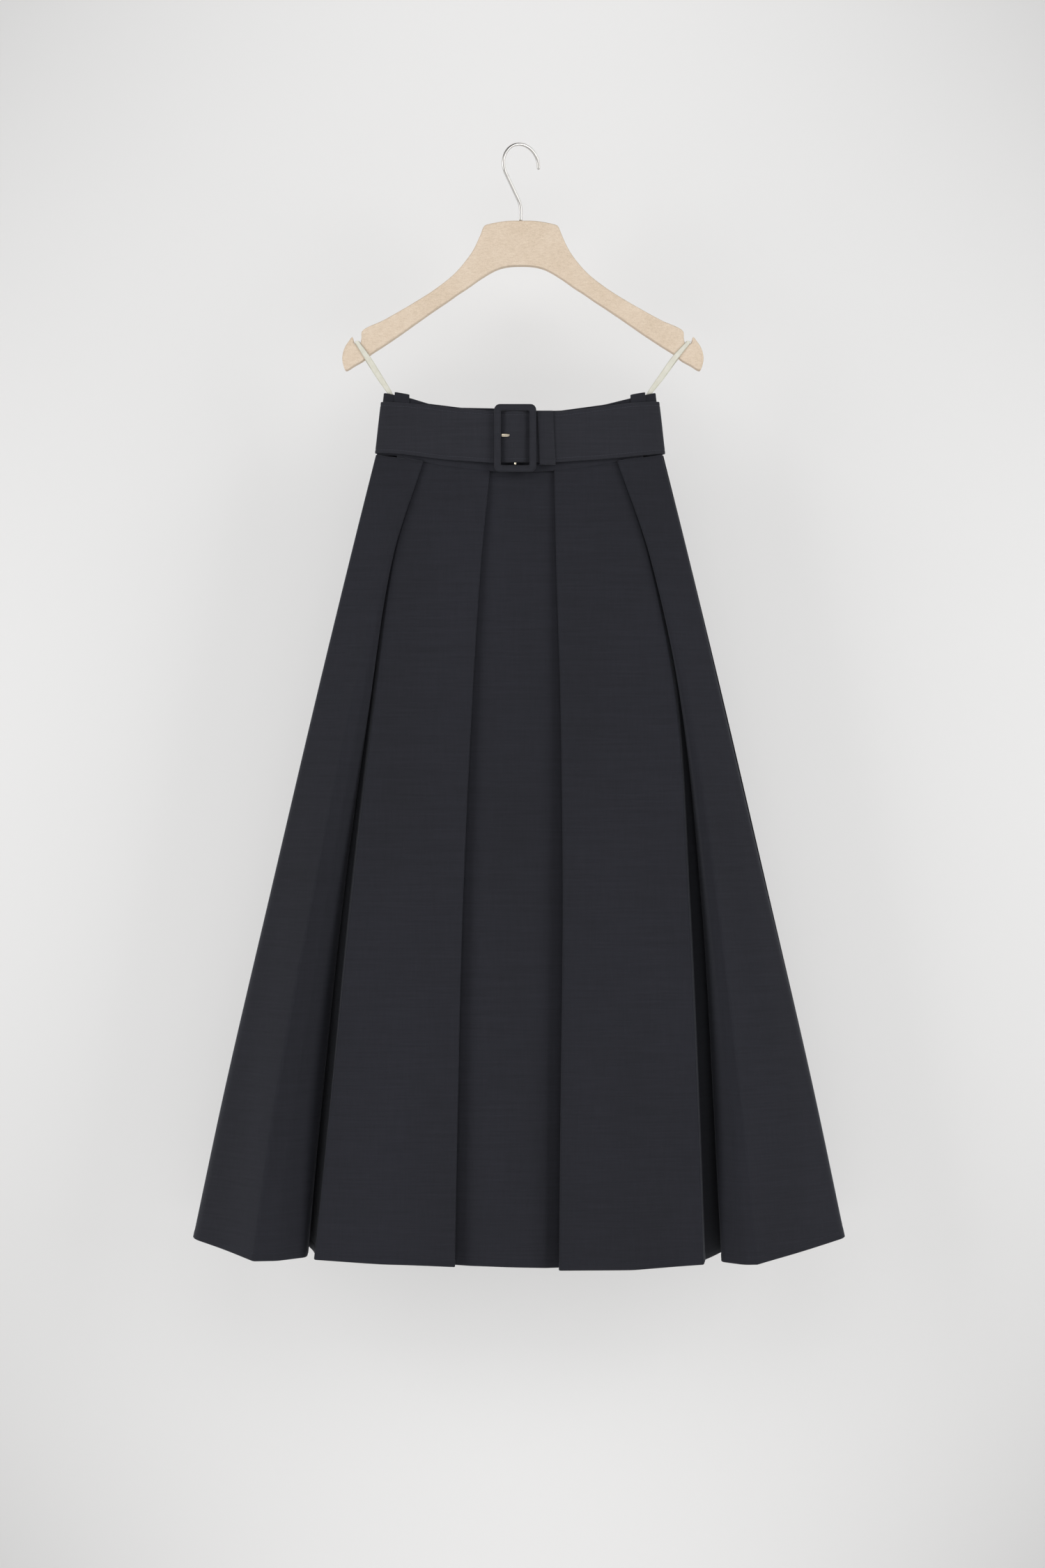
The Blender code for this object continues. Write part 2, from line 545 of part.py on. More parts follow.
# The keeper, a closed band of the same cloth round both layers of the strap.
keeper_top = on_table(BELT_TOP, KEEPER_X) + 0.4 + KEEPER_WALL
keeper_low = on_table(BELT_LOW, KEEPER_X) - 2.0 - KEEPER_WALL
keeper_back = -(BAND_DEPTH + BAND_WALL + SEAM_GAP)
keeper_front = FRONT_Y - SEAM_GAP - KEEPER_WALL
rows = []
for side in (-0.5, 0.5):
    ring = []
    for y, z in rounded_box(
        (keeper_back + keeper_front) / 2,
        (keeper_top + keeper_low) / 2,
        abs(keeper_front - keeper_back) - KEEPER_WALL,
        keeper_top - keeper_low - KEEPER_WALL,
        0.9,
        2,
    ):
        lean = (keeper_top - z) / (keeper_top - keeper_low) * 2.9 - 1.4
        ring.append((KEEPER_X + side * KEEPER_WIDE + lean, y, z))
    rows.append(ring)
sheet("keeper", rows, KEEPER_WALL, BELT_FINISH, closed=True)

# ---------------------------------------------------------------- hanger
def arm_side(sign, reach):
    """One arm's outline from the middle of its top edge round the end to the middle of its lower edge."""
    stretch = (reach - 62.5) / (TIP[9][0] - 62.5)

    def place(distance):
        return HANGER_X + sign * (distance if distance < 62.5 else 62.5 + (distance - 62.5) * stretch)

    out = [(place(d), top) for d, top, _ in ARM[1:]]
    out += [(place(d), z) for d, z in TIP]
    out += [(place(d), low) for d, _, low in reversed(ARM[1:])]
    return out


outline = [(HANGER_X, ARM[0][1])] + arm_side(1, HANGER_RIGHT) + [(HANGER_X, ARM[0][2])] + list(reversed(arm_side(-1, HANGER_LEFT)))
plate = outline_plate("hanger", [outline], HANGER_DEEP, BOARD_FINISH)
plate = soften(made_mesh(plate), HANGER_ROUND, 2, 55)


def hook_path():
    """The wire's centre line in the hook's own plane: (u, z). The bow's top has its inner side at the origin."""
    centre = WIRE / 2 - BOW_RADIUS
    out = [(BOW_RADIUS * math.cos(math.radians(a)), centre + BOW_RADIUS * math.sin(math.radians(a))) for a in range(-6, 205, 10)]
    leave = math.radians(209.3)
    out.append((BOW_RADIUS * math.cos(leave), centre + BOW_RADIUS * math.sin(leave)))
    neck, bend = (-0.3, -66.0), 7.0
    u, z = out[-1]
    length = math.hypot(neck[0] - u, neck[1] - z)
    du, dz = (neck[0] - u) / length, (neck[1] - z) / length
    out.append((u + du * length * 0.45, z + dz * length * 0.45))
    for i in range(5):
        t = i / 4
        a, b, c = (1 - t) ** 2, 2 * t * (1 - t), t * t
        out.append((a * (neck[0] - du * bend) + b * neck[0] + c * neck[0], a * (neck[1] - dz * bend) + b * neck[1] + c * (neck[1] - bend)))
    out.append((neck[0], ARM[0][1] + SEAM_GAP))
    return out


wire = bpy.data.curves.new("hook", "CURVE")
wire.dimensions = "3D"
wire.bevel_depth = WIRE / 2 * MM
wire.bevel_resolution = 2
wire.use_fill_caps = True
path = hook_path()
line = wire.splines.new("POLY")
line.points.add(len(path) - 1)
for slot, (u, z) in zip(line.points, path):
    slot.co = (u * math.cos(HOOK_TURN) * MM, u * math.sin(HOOK_TURN) * MM, z * MM, 1)
hook = bpy.data.objects.new("hook", wire)
skirt.objects.link(hook)
wire.materials.append(STEEL_FINISH)
hook.location = ((HANGER_X - 0.05) * MM, 0, 0)

# ---------------------------------------------------------------- ribbon loops
# Each loop leaves the waistband's inside, runs up in front of the hanger's arm, turns over in the notch and comes down behind.
for name, sign, reach, cross_x in (("ribbon_left", -1, HANGER_LEFT, -168.3), ("ribbon_right", 1, HANGER_RIGHT, 171.7)):
    stretch = (reach - 62.5) / (TIP[9][0] - 62.5)
    notch_x = HANGER_X + sign * (62.5 + (NOTCH[0] - 62.5) * stretch)
    low_x, mouth_x = sign * 143.2, sign * 144.3
    side = HANGER_DEEP / 2 + SEAM_GAP + RIBBON_WALL / 2
    over = NOTCH[1] + SEAM_GAP + RIBBON_WALL / 2 + 0.7
    half_loop = (  # x, y, z, share of the width, lean of the width from level in degrees
        (low_x, 0.9, -291.0, 0.78, 0), (low_x, 0.9, -281.0, 0.78, 6), (mouth_x, 0.95, -275.2, 0.8, 15),
        ((mouth_x + cross_x) / 2, 4.0, -256.5, 1.0, 30), (cross_x, side, -237.5, 1.0, 32),
        (notch_x, side + 0.1, over - 1.4, 0.72, 12), (notch_x, side - 1.0, over, 0.7, 0),
    )
    path = [(x, -y, z, share, lean) for x, y, z, share, lean in half_loop] + list(reversed(half_loop))
    rows = []
    for edge in (-0.5, 0.5):
        row = []
        for x, y, z, share, lean in path:
            wide, tilt = edge * share * RIBBON_WIDE, math.radians(lean)
            row.append((x + wide * math.cos(tilt), y, z - sign * wide * math.sin(tilt)))
        rows.append(row)
    sheet(name, rows, RIBBON_WALL, RIBBON_FINISH)
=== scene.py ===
"""The looks of a pleated maxi skirt with its own belt, hanging by ribbon loops from a board hanger.

Metres in the scene, millimetres in the tables, +Z up, the front towards -Y. Every piece of cloth is a thin shell on the
form of its solid, with finer folds, a turned hem and rounded edges.
"""

import math

import bmesh
import bpy
import numpy as np
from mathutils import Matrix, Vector
from mathutils.geometry import tessellate_polygon


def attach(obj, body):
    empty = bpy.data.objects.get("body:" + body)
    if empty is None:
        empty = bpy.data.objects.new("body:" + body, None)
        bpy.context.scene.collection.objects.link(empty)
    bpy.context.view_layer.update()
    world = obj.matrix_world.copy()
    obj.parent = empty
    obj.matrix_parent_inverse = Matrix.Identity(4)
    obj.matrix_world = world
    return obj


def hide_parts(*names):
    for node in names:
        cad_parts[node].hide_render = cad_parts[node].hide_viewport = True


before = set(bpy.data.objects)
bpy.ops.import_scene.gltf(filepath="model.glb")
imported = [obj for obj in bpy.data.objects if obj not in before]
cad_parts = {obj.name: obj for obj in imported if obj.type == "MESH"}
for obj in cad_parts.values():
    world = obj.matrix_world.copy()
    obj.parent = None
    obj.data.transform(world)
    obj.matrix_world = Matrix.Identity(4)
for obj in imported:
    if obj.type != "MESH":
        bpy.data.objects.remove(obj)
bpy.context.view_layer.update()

MM = 0.001

# ---------------------------------------------------------------- driving sizes, millimetres unless said
CLOTH = 1.2  # wall of a panel
SEAM_GAP = 0.3  # between neighbouring pieces
SEAM_DROP = 24.2  # how fast the waist seam climbs from the middle towards the sides
SEAM_MIDDLE, SEAM_SIDE = -363.6, -344.6  # heights of the waist seam in the middle, and at the sides, where it runs level
SEAM_HALF = 158.0  # half the waist seam's width

BAND_WALL = 2.0
BAND_TOP_HALF, BAND_LOW_HALF = 149.3, 157.2  # half widths of the waistband's inner face at the sides' top and bottom
BAND_TOP_SIDE, BAND_LOW_SIDE = -275.6, -344.6  # heights of its edges at the sides
BAND_DEPTH = 12.6  # its inner face stands this far in front of the middle plane

BELT_WALL = 1.2
BELT_SHIFT = -0.3  # the belt hangs this far to one side
BELT_AIR = 1.7  # room between the waistband and the belt, for the carriers and the keeper's back
BELT_AIR_SIDE = 0.75  # and at the sides, where the belt is drawn tight
BELT_END = 1.34  # the free end stops on the back, this many quarter turns from the middle of the front
CARRIER_WIDE, CARRIER_WALL, CARRIER_RISE, CARRIER_LONG = 15.5, 1.0, 4.1, 50.0
CARRIER_X = (-130.0, 130.5)

BUCKLE_WIDE, BUCKLE_HIGH, BUCKLE_DEEP = 46.5, 75.0, 5.0
BUCKLE_BAR, BUCKLE_RADIUS = 7.4, 6.4
BUCKLE_X, BUCKLE_Z = -5.0, -327.5
BAR_WIRE = 2.6
STRAP_RISE = 3.3  # how far the strap climbs over the buckle's centre bar
PRONG_WIDE, PRONG_DEEP = 3.4, 1.6
KEEPER_WIDE, KEEPER_WALL, KEEPER_X = 17.0, 1.0, 29.2

HANGER_X = 1.5
HANGER_LEFT, HANGER_RIGHT = 198.6, 202.7  # the two arms, from the middle to the tip
HANGER_DEEP = 12.0
HANGER_ROUND = 1.8
RIBBON_WIDE, RIBBON_WALL = 6.0, 1.0
WIRE = 3.6
BOW_RADIUS = 23.0  # of the hook's wire centre line
HOOK_TURN = math.radians(32)  # the hook has turned this far on its shaft

# Heights down a panel, as shares of its length from the waist seam to the hem, where the fold tables give positions.
STATIONS = (0.0, 0.12, 0.30, 0.55, 0.80, 1.0)
# The sections that the panels are lofted through.
SECTIONS = (0.0, 0.04, 0.08, 0.12, 0.165, 0.21, 0.32, 0.46, 0.62, 0.80, 0.92, 1.0)

# The hem's height at a distance from the middle: the sides ride up, because a flared side hangs on the slant.
HEM = (  # x, z
    (-364, -1213.5), (-320, -1222.5), (-289, -1227.1), (-225, -1228.6), (-150, -1232.8), (-71, -1235.8), (0, -1238.3),
    (45, -1239.4), (90, -1240.0), (157, -1237.5), (202, -1234.2), (259, -1232.2), (290, -1227.2), (326, -1222.3), (364, -1213.5),
)

# Each row is a point of a piece's outline seen from above. x: its distance from the middle at each station. y: its depth at
# each station, or at the waist seam, the middle of the length and the hem. r: the fold's radius at the waist seam and the hem.
FRONT = {
    "side_left": (
        # point, x at the six stations, y at three, r at two
        ("seam", (-159.4, -185.6, -223.8, -275.0, -325.8, -363.1), (-0.2, 8.5, 20.8), (0, 0)),
        ("flank", (-159.4, -185.6, -223.8, -275.0, -325.8, -363.1), (-7.0, -6.5, -4), (6, 40)),
        ("crease", (-111.2, -146.9, -184.5, -227.0, -265.5, -289.1), (-14, -43, -71), (1, 4)),
        ("roll_out", (-107.2, -141.5, -172.5, -210.0, -245.0, -265.0), (-14, -20.2, -29.5, -36.5, -49, -65), (0.9, 24)),
        ("roll_in", (-107.2, -139.9, -164.8, -195.5, -219.5, -235.0), (-12.1, -16.8, -20, -12, -19, -39), (0.9, 14)),
        ("inner", (-135.2, -152.6, -172.8, -199.0, -222.5, -238.0), (-9.1, 3, 25), (0, 0)),
    ),
    "front_left": (
        ("inner", (-135.2, -151.6, -170.6, -196.6, -220.0, -235.5), (-7.1, 3.5, 25), (0, 0)),
        ("turn", (-119.6, -144.4, -162.5, -187.4, -208.3, -225.0), (-8.0, -14.3, -20), (10, 6)),
        ("edge", (-106.2, -138.0, -159.6, -184.6, -206.0, -223.4), (-10.2, -31, -53), (1, 2.5)),
        ("middle", (-70.0, -92.0, -108.0, -124.0, -138.0, -148.0), (-12.6, -36.5, -58.5), (60, 120)),
        ("fold_out", (-33.4, -43.3, -52.9, -62.4, -67.6, -71.1), (-14, -37, -58), (0.9, 1.1)),
        ("fold_in", (-33.4, -43.3, -52.9, -62.4, -67.6, -71.1), (-12.1, -34.6, -55.1), (0.9, 1.1)),
        ("inner", (-61.4, -75.0, -88.0, -102.0, -111.0, -117.0), (-10.9, -26.0, -34.5), (0, 0)),
    ),
    "front_center": (
        ("inner_left", (-61.4, -75.0, -88.0, -102.0, -111.0, -117.0), (-8.9, -23.9, -32.4), (0, 0)),
        ("bend_left", (-34.0, -36.0, -40.0, -46.0, -50.0, -53.0), (-10.2, -27.8, -46.5), (20, 25)),
        ("middle", (2.7, 0.0, -2.0, -5.5, -10.0, -13.0), (-11.6, -29.5, -47.5), (60, 120)),
        ("bend_right", (37.0, 33.0, 32.0, 32.0, 30.0, 29.0), (-10.2, -27.8, -46.5), (20, 25)),
        ("inner_right", (66.7, 73.0, 82.0, 90.0, 91.0, 91.5), (-8.9, -23.5, -31.5), (0, 0)),
    ),
    "front_right": (
        ("inner_left", (66.7, 73.0, 82.0, 90.0, 91.0, 91.5), (-10.9, -25.6, -33.6), (0, 0)),
        ("fold_in", (38.7, 41.0, 45.9, 48.6, 46.3, 44.5), (-12.1, -36, -56.1), (0.9, 1.1)),
        ("fold_out", (38.7, 41.0, 45.9, 48.6, 46.3, 44.5), (-14, -38.4, -59), (0.9, 1.1)),
        ("middle", (74.0, 91.0, 108.0, 117.0, 122.0, 124.0), (-12.6, -36.5, -60), (60, 120)),
        ("edge", (107.6, 141.9, 171.9, 184.7, 194.9, 201.8), (-10.2, -31, -52.5), (1, 2.5)),
        ("turn", (121.0, 148.3, 174.8, 187.5, 197.0, 204.0), (-8.0, -14.3, -22), (10, 6)),
        ("inner_right", (136.6, 154.6, 180.6, 203.8, 220.5, 231.0), (-6.4, 5.2, 33), (0, 0)),
    ),
    "side_right": (
        ("inner", (136.6, 156.0, 183.2, 206.4, 223.0, 233.5), (-9.1, 4.5, 33), (0, 0)),
        ("roll_in", (108.6, 144.0, 177.5, 201.0, 214.0, 221.5), (-12.1, -17.2, -20.5, -11, -18, -39), (0.9, 11)),
        ("roll_out", (108.6, 145.0, 180.5, 207.5, 229.5, 243.0), (-14, -19.8, -28.5, -34.5, -48, -63), (0.9, 22)),
        ("crease", (112.6, 149.0, 186.0, 216.8, 242.0, 259.4), (-14, -40, -65.3), (1, 4)),
        ("flank", (157.9, 184.6, 222.0, 273.2, 324.8, 362.2), (-7.0, -4, 3), (6, 40)),
        ("seam", (157.9, 184.6, 222.0, 273.2, 324.8, 362.2), (-0.2, 8.5, 20.8), (0, 0)),
    ),
}

# The back, with the same pleats, a little shallower, at other distances from the middle so that no two inner folds meet.
BACK = {
    "back_side_left": (
        ("seam", (-159.4, -185.6, -223.8, -275.0, -325.8, -363.1), (0.2, 8.9, 21.2), (0, 0)),
        ("flank", (-159.4, -185.6, -223.8, -275.0, -325.8, -363.1), (7.0, 22, 40), (6, 40)),
        ("crease", (-104.0, -134.0, -168.0, -207.0, -246.0, -270.0), (14, 48, 81), (1, 4)),
        ("roll_out", (-100.0, -128.0, -156.0, -187.0, -218.0, -240.0), (14, 50, 90), (0.9, 22)),
        ("roll_in", (-100.0, -126.0, -150.0, -176.0, -200.0, -214.0), (12.1, 40, 80), (0.9, 12)),
        ("inner", (-128.0, -138.0, -155.0, -178.0, -199.0, -212.0), (9.6, 16, 28), (0, 0)),
    ),
    "back_left": (
        ("inner", (-128.0, -137.0, -152.8, -175.6, -196.5, -209.5), (7.6, 15.5, 28), (0, 0)),
        ("edge", (-99.0, -124.0, -145.0, -170.0, -192.0, -206.0), (10.2, 38, 71), (1, 6)),
        ("middle", (-65.0, -84.0, -100.0, -115.0, -127.0, -134.0), (12.6, 43, 77), (60, 120)),
        ("fold_out", (-34.0, -42.0, -50.0, -57.0, -61.0, -63.0), (14, 42, 75), (0.9, 1.1)),
        ("fold_in", (-34.0, -42.0, -50.0, -57.0, -61.0, -63.0), (12.1, 39.6, 72.1), (0.9, 1.1)),
        ("inner_middle", (-62.0, -73.0, -84.0, -95.0, -103.0, -108.0), (10.9, 33, 57), (0, 0)),
    ),
    "back_center_left": (
        ("inner", (-62.0, -73.0, -84.0, -95.0, -103.0, -108.0), (8.9, 30.9, 54.9), (0, 0)),
        ("bend", (-34.0, -41.0, -48.0, -53.0, -56.0, -57.0), (10.2, 35.5, 65), (20, 25)),
        ("seam", (-0.15, -0.15, -0.15, -0.15, -0.15, -0.15), (11.4, 37, 66.5), (0, 0)),
    ),
}


def mirrored(rows):
    """The same piece on the other side of the middle."""
    return tuple((name, tuple(-x for x in xs), ys, rs) for name, xs, ys, rs in rows)


for left, right in (("back_side_left", "back_side_right"), ("back_left", "back_right"), ("back_center_left", "back_center_right")):
    BACK[right] = mirrored(BACK[left])

# The edges of the waistband and the belt sag between the sides.
BAND_TOP = (  # x, z
    (-152, -275.6), (-122, -282.6), (-103, -288.6), (-66, -293.4), (-29, -294.2), (15, -296.6), (45, -296.8), (77, -292.4),
    (96, -289.7), (119, -283.8), (152, -275.6),
)
BELT_TOP = (  # x, z
    (-155, -285.2), (-126, -287.8), (-99, -290.6), (-70, -294.6), (-29, -297.7), (18, -298.2), (47, -298.4), (75, -294.9),
    (120, -288.3), (155, -285.2),
)
BELT_LOW = (  # x, z
    (-161, -341.4), (-129, -343.6), (-84, -350.0), (-29, -354.2), (38, -353.4), (97, -349.2), (161, -342.0),
)

# The hanger's arm, from the middle out.
ARM = (  # distance from the middle, top edge, lower edge
    (0.0, -84.0, -133.7), (14.0, -84.2, -134.4), (25.0, -85.6, -137.0), (36.0, -87.9, -142.4), (40.7, -89.7, -145.4),
    (45.5, -100.5, -148.4), (51.1, -112.7, -152.3), (56.5, -121.8, -156.2), (62.5, -129.8, -160.3), (69.7, -138.4, -164.9),
    (79.0, -147.4, -171.6), (97.6, -161.5, -184.2), (116.2, -173.4, -197.3), (134.8, -184.4, -210.6), (153.4, -194.8, -223.2),
)
# The arm's end, round from its top corner: a notch for the ribbon, then the rounded cap and the lower corner.
TIP = (  # distance from the middle, height
    (176.4, -206.6), (177.4, -215.0), (178.9, -220.0), (184.7, -220.4), (186.0, -217.2), (187.4, -213.2), (191.6, -218.1),
    (195.2, -223.6), (197.6, -229.8), (198.6, -236.4), (197.8, -243.0), (194.8, -249.9), (184.4, -244.4), (174.4, -238.6),
    (168.0, -232.8),
)
NOTCH = (181.5, -220.1)  # the notch's floor, where the ribbon turns over


# ---------------------------------------------------------------- functions
def smooth_between(values, at, stations):
    """The value at a height, on a smooth curve through the values given at the stations."""
    last = len(stations) - 1
    k = min(max(sum(1 for s in stations[1:] if s <= at), 0), last - 1)
    slopes = []
    for i in range(len(values)):
        a, b = max(i - 1, 0), min(i + 1, last)
        slopes.append((values[b] - values[a]) / (stations[b] - stations[a]))
    span = stations[k + 1] - stations[k]
    t = (at - stations[k]) / span
    return (
        (2 * t**3 - 3 * t**2 + 1) * values[k]
        + (t**3 - 2 * t**2 + t) * span * slopes[k]
        + (3 * t**2 - 2 * t**3) * values[k + 1]
        + (t**3 - t**2) * span * slopes[k + 1]
    )


def on_table(rows, x):
    """Straight interpolation in a two-column table."""
    if x <= rows[0][0]:
        return rows[0][1]
    for (x0, z0), (x1, z1) in zip(rows, rows[1:]):
        if x <= x1:
            return z0 + (z1 - z0) * (x - x0) / (x1 - x0)
    return rows[-1][1]


def seam_height(x):
    return min(SEAM_MIDDLE + SEAM_DROP * (x / SEAM_HALF) ** 2, SEAM_SIDE)


def control_points(rows, at):
    """A piece's outline at one height: (x, y, z, radius) of each row's point."""
    points = []
    for _, xs, ys, rs in rows:
        x = smooth_between(xs, at, STATIONS)
        y = smooth_between(ys, at, STATIONS if len(ys) == len(STATIONS) else (0.0, 0.5, 1.0))
        z = seam_height(xs[0]) * (1 - at) + on_table(HEM, xs[-1]) * at
        points.append((x, y, z, rs[0] + (rs[1] - rs[0]) * at))
    return points


def rounded_section(points, steps):
    """The outline with each inner corner rounded to its radius, by an arc of steps + 1 points. A corner that doesn't turn
    keeps the same count, so that every section of a piece has the same number of points."""
    out = [Vector(points[0][:3])]
    for (ax, ay, az, _), (bx, by, bz, r), (cx, cy, cz, _) in zip(points, points[1:], points[2:]):
        back, ahead = Vector((ax - bx, ay - by)), Vector((cx - bx, cy - by))
        lb, la = back.length, ahead.length
        back, ahead = back / lb, ahead / la
        turn = math.pi - back.angle(ahead, 0.0)
        cut = r * math.tan(turn / 2) if turn > 0.02 else 0.3 * r
        cut = max(min(cut, 0.46 * lb, 0.46 * la), 0.02)
        for i in range(steps + 1):
            t = i / steps
            # a conic close to the circular arc between the two tangent points
            w = math.cos(turn / 2)
            a, b, c = (1 - t) ** 2, 2 * w * t * (1 - t), t**2
            s = a + b + c
            px = (a * (bx + back.x * cut) + b * bx + c * (bx + ahead.x * cut)) / s
            py = (a * (by + back.y * cut) + b * by + c * (by + ahead.y * cut)) / s
            dz = (az - bz) * a * cut / lb + (cz - bz) * c * cut / la
            out.append(Vector((px, py, bz + dz / s)))
    out.append(Vector(points[-1][:3]))
    return out


# The room's light: a large soft light on each side, one above and a weak one from low in front.
WORLD_POWER = 0.07
# painted light: how brightly the wall and floor glow by themselves
WALL_GLOW = 0.46
LAMPS = (  # name, place, aim, size, power, colour
    ("left", (-3.2, -2.0, 0.0), (0.0, 0.0, -0.75), (1.8, 2.6), 72.0, (1, 1, 1)),
    ("right", (3.2, -2.0, 0.0), (0.0, 0.0, -0.75), (1.8, 2.6), 72.0, (1, 1, 1)),
    ("above", (0.0, -2.9, 1.5), (0.0, 0.1, -0.8), (2.4, 1.6), 22.0, (1, 1, 1)),
    ("low", (0.0, -2.8, -1.5), (0.0, 0.0, -0.9), (2.4, 0.5), 6.0, (1, 1, 1)),
)


# ---------------------------------------------------------------- mesh helpers
def grid_normals(points, closed=False):
    """Unit normals of a grid of points (rows, columns, 3)."""
    if closed:
        along = np.roll(points, -1, 1) - np.roll(points, 1, 1)
    else:
        along = np.gradient(points, axis=1)
    down = np.gradient(points, axis=0)
    normals = np.cross(down, along)
    return normals / np.maximum(np.linalg.norm(normals, axis=2, keepdims=True), 1e-12)


def shell(name, points, wall, finish, closed=False, lift=0.0, facts=None, bulge=0.45):
    """A sheet of cloth: a grid of points (millimetres) thickened by wall, an array or a number, with rounded rims. lift moves
    it along its normal. facts are three numbers a point for the finish: along, from the edge, and a spare."""
    points = np.asarray(points, float)
    rows, cols = points.shape[:2]
    normals = grid_normals(points, closed)
    wall = np.broadcast_to(np.asarray(wall, float), (rows, cols))[..., None]
    middle = points + normals * lift
    faces_of = [middle + normals * wall / 2, middle - normals * wall / 2]
    verts = np.concatenate([side.reshape(-1, 3) for side in faces_of])
    index = np.arange(rows * cols).reshape(rows, cols)
    faces = []
    wrap = cols if closed else cols - 1
    for side, flip in ((0, False), (1, True)):
        base = index + side * rows * cols
        a, b = base[:-1, :wrap], np.roll(base, -1, 1)[:-1, :wrap]
        c, d = np.roll(base, -1, 1)[1:, :wrap], base[1:, :wrap]
        quad = np.stack([a, d, c, b] if not flip else [a, b, c, d], -1).reshape(-1, 4)
        faces.append(quad)
    # the rims, each with a middle line that stands out a little
    rim_points, rim_facts = [], []
    extra = len(verts)
    loops = []
    if closed:
        loops.append(([(0, j) for j in range(cols)], -1, True))
        loops.append(([(rows - 1, j) for j in range(cols)], 1, True))
    else:
        line = [(0, j) for j in range(cols)] + [(i, cols - 1) for i in range(1, rows)]
        line += [(rows - 1, j) for j in range(cols - 2, -1, -1)] + [(i, 0) for i in range(rows - 2, 0, -1)]
        loops.append((line, 0, True))
    sides = []
    for line, _, _ in loops:
        ids = np.array([i * cols + j for i, j in line])
        first = extra + len(rim_points)
        for i, j in line:
            inward = np.zeros(3)
            if i == 0:
                inward += middle[0, j] - middle[1, j]
            if i == rows - 1:
                inward += middle[-1, j] - middle[-2, j]
            if not closed and j == 0:
                inward += middle[i, 0] - middle[i, 1]
            if not closed and j == cols - 1:
                inward += middle[i, -1] - middle[i, -2]
            length = np.linalg.norm(inward)
            rim_points.append(middle[i, j] + (inward / length if length > 1e-9 else 0) * bulge * wall[i, j, 0])
            rim_facts.append((i, j))
        mid = first + np.arange(len(line))
        turned = (lambda a: np.roll(a, -1))
        a, b = ids, turned(ids)
        ma, mb = mid, turned(mid)
        la, lb = ids + rows * cols, turned(ids) + rows * cols
        forward = not (closed and line[0][0] == 0)
        up = np.stack([a, b, mb, ma], -1)
        low = np.stack([ma, mb, lb, la], -1)
        sides += [up, low]
    faces += sides
    verts = np.concatenate([verts, np.array(rim_points)]) * MM
    mesh = bpy.data.meshes.new(name)
    mesh.from_pydata(verts.tolist(), [], np.concatenate(faces).tolist())
    if facts is not None:
        flat = np.asarray(facts, float).reshape(-1, 3)
        rim = np.array([facts[i][j] for i, j in rim_facts])
        values = np.concatenate([flat, flat, rim]).astype(np.float32)
        layer = mesh.attributes.new("cloth_at", "FLOAT_VECTOR", "POINT")
        layer.data.foreach_set("vector", values.ravel())
    mesh.validate()
    tidy = bmesh.new()
    tidy.from_mesh(mesh)
    bmesh.ops.recalc_face_normals(tidy, faces=tidy.faces)
    tidy.to_mesh(mesh)
    tidy.free()
    mesh.shade_smooth()
    made = bpy.data.objects.new(name, mesh)
    bpy.context.scene.collection.objects.link(made)
    mesh.materials.append(finish)
    return made


def loft(name, rings, finish, caps=True, facts=None):
    """A closed tube through rings of points (rings, around, 3), millimetres, with its ends capped."""
    rings = np.asarray(rings, float)
    count, around_it = rings.shape[:2]
    index = np.arange(count * around_it).reshape(count, around_it)
    a, b = index[:-1], np.roll(index, -1, 1)[:-1]
    c, d = np.roll(index, -1, 1)[1:], index[1:]
    faces = np.stack([a, d, c, b], -1).reshape(-1, 4).tolist()
    if caps:
        faces += [index[0].tolist(), index[-1][::-1].tolist()]
    mesh = bpy.data.meshes.new(name)
    mesh.from_pydata((rings.reshape(-1, 3) * MM).tolist(), [], faces)
    if facts is not None:
        layer = mesh.attributes.new("cloth_at", "FLOAT_VECTOR", "POINT")
        layer.data.foreach_set("vector", np.asarray(facts, np.float32).reshape(-1))
    tidy = bmesh.new()
    tidy.from_mesh(mesh)
    bmesh.ops.recalc_face_normals(tidy, faces=tidy.faces)
    tidy.to_mesh(mesh)
    tidy.free()
    mesh.shade_smooth()
    made = bpy.data.objects.new(name, mesh)
    bpy.context.scene.collection.objects.link(made)
    mesh.materials.append(finish)
    return made


def ring_loft(name, rings, finish, facts=None):
    """A closed ring: the last section joins the first."""
    rings = np.asarray(rings, float)
    count, around_it = rings.shape[:2]
    index = np.arange(count * around_it).reshape(count, around_it)
    a, b = index, np.roll(index, -1, 1)
    c, d = np.roll(np.roll(index, -1, 1), -1, 0), np.roll(index, -1, 0)
    faces = np.stack([a, d, c, b], -1).reshape(-1, 4).tolist()
    mesh = bpy.data.meshes.new(name)
    mesh.from_pydata((rings.reshape(-1, 3) * MM).tolist(), [], faces)
    if facts is not None:
        layer = mesh.attributes.new("cloth_at", "FLOAT_VECTOR", "POINT")
        layer.data.foreach_set("vector", np.asarray(facts, np.float32).reshape(-1))
    tidy = bmesh.new()
    tidy.from_mesh(mesh)
    bmesh.ops.recalc_face_normals(tidy, faces=tidy.faces)
    tidy.to_mesh(mesh)
    tidy.free()
    mesh.shade_smooth()
    made = bpy.data.objects.new(name, mesh)
    bpy.context.scene.collection.objects.link(made)
    mesh.materials.append(finish)
    return made


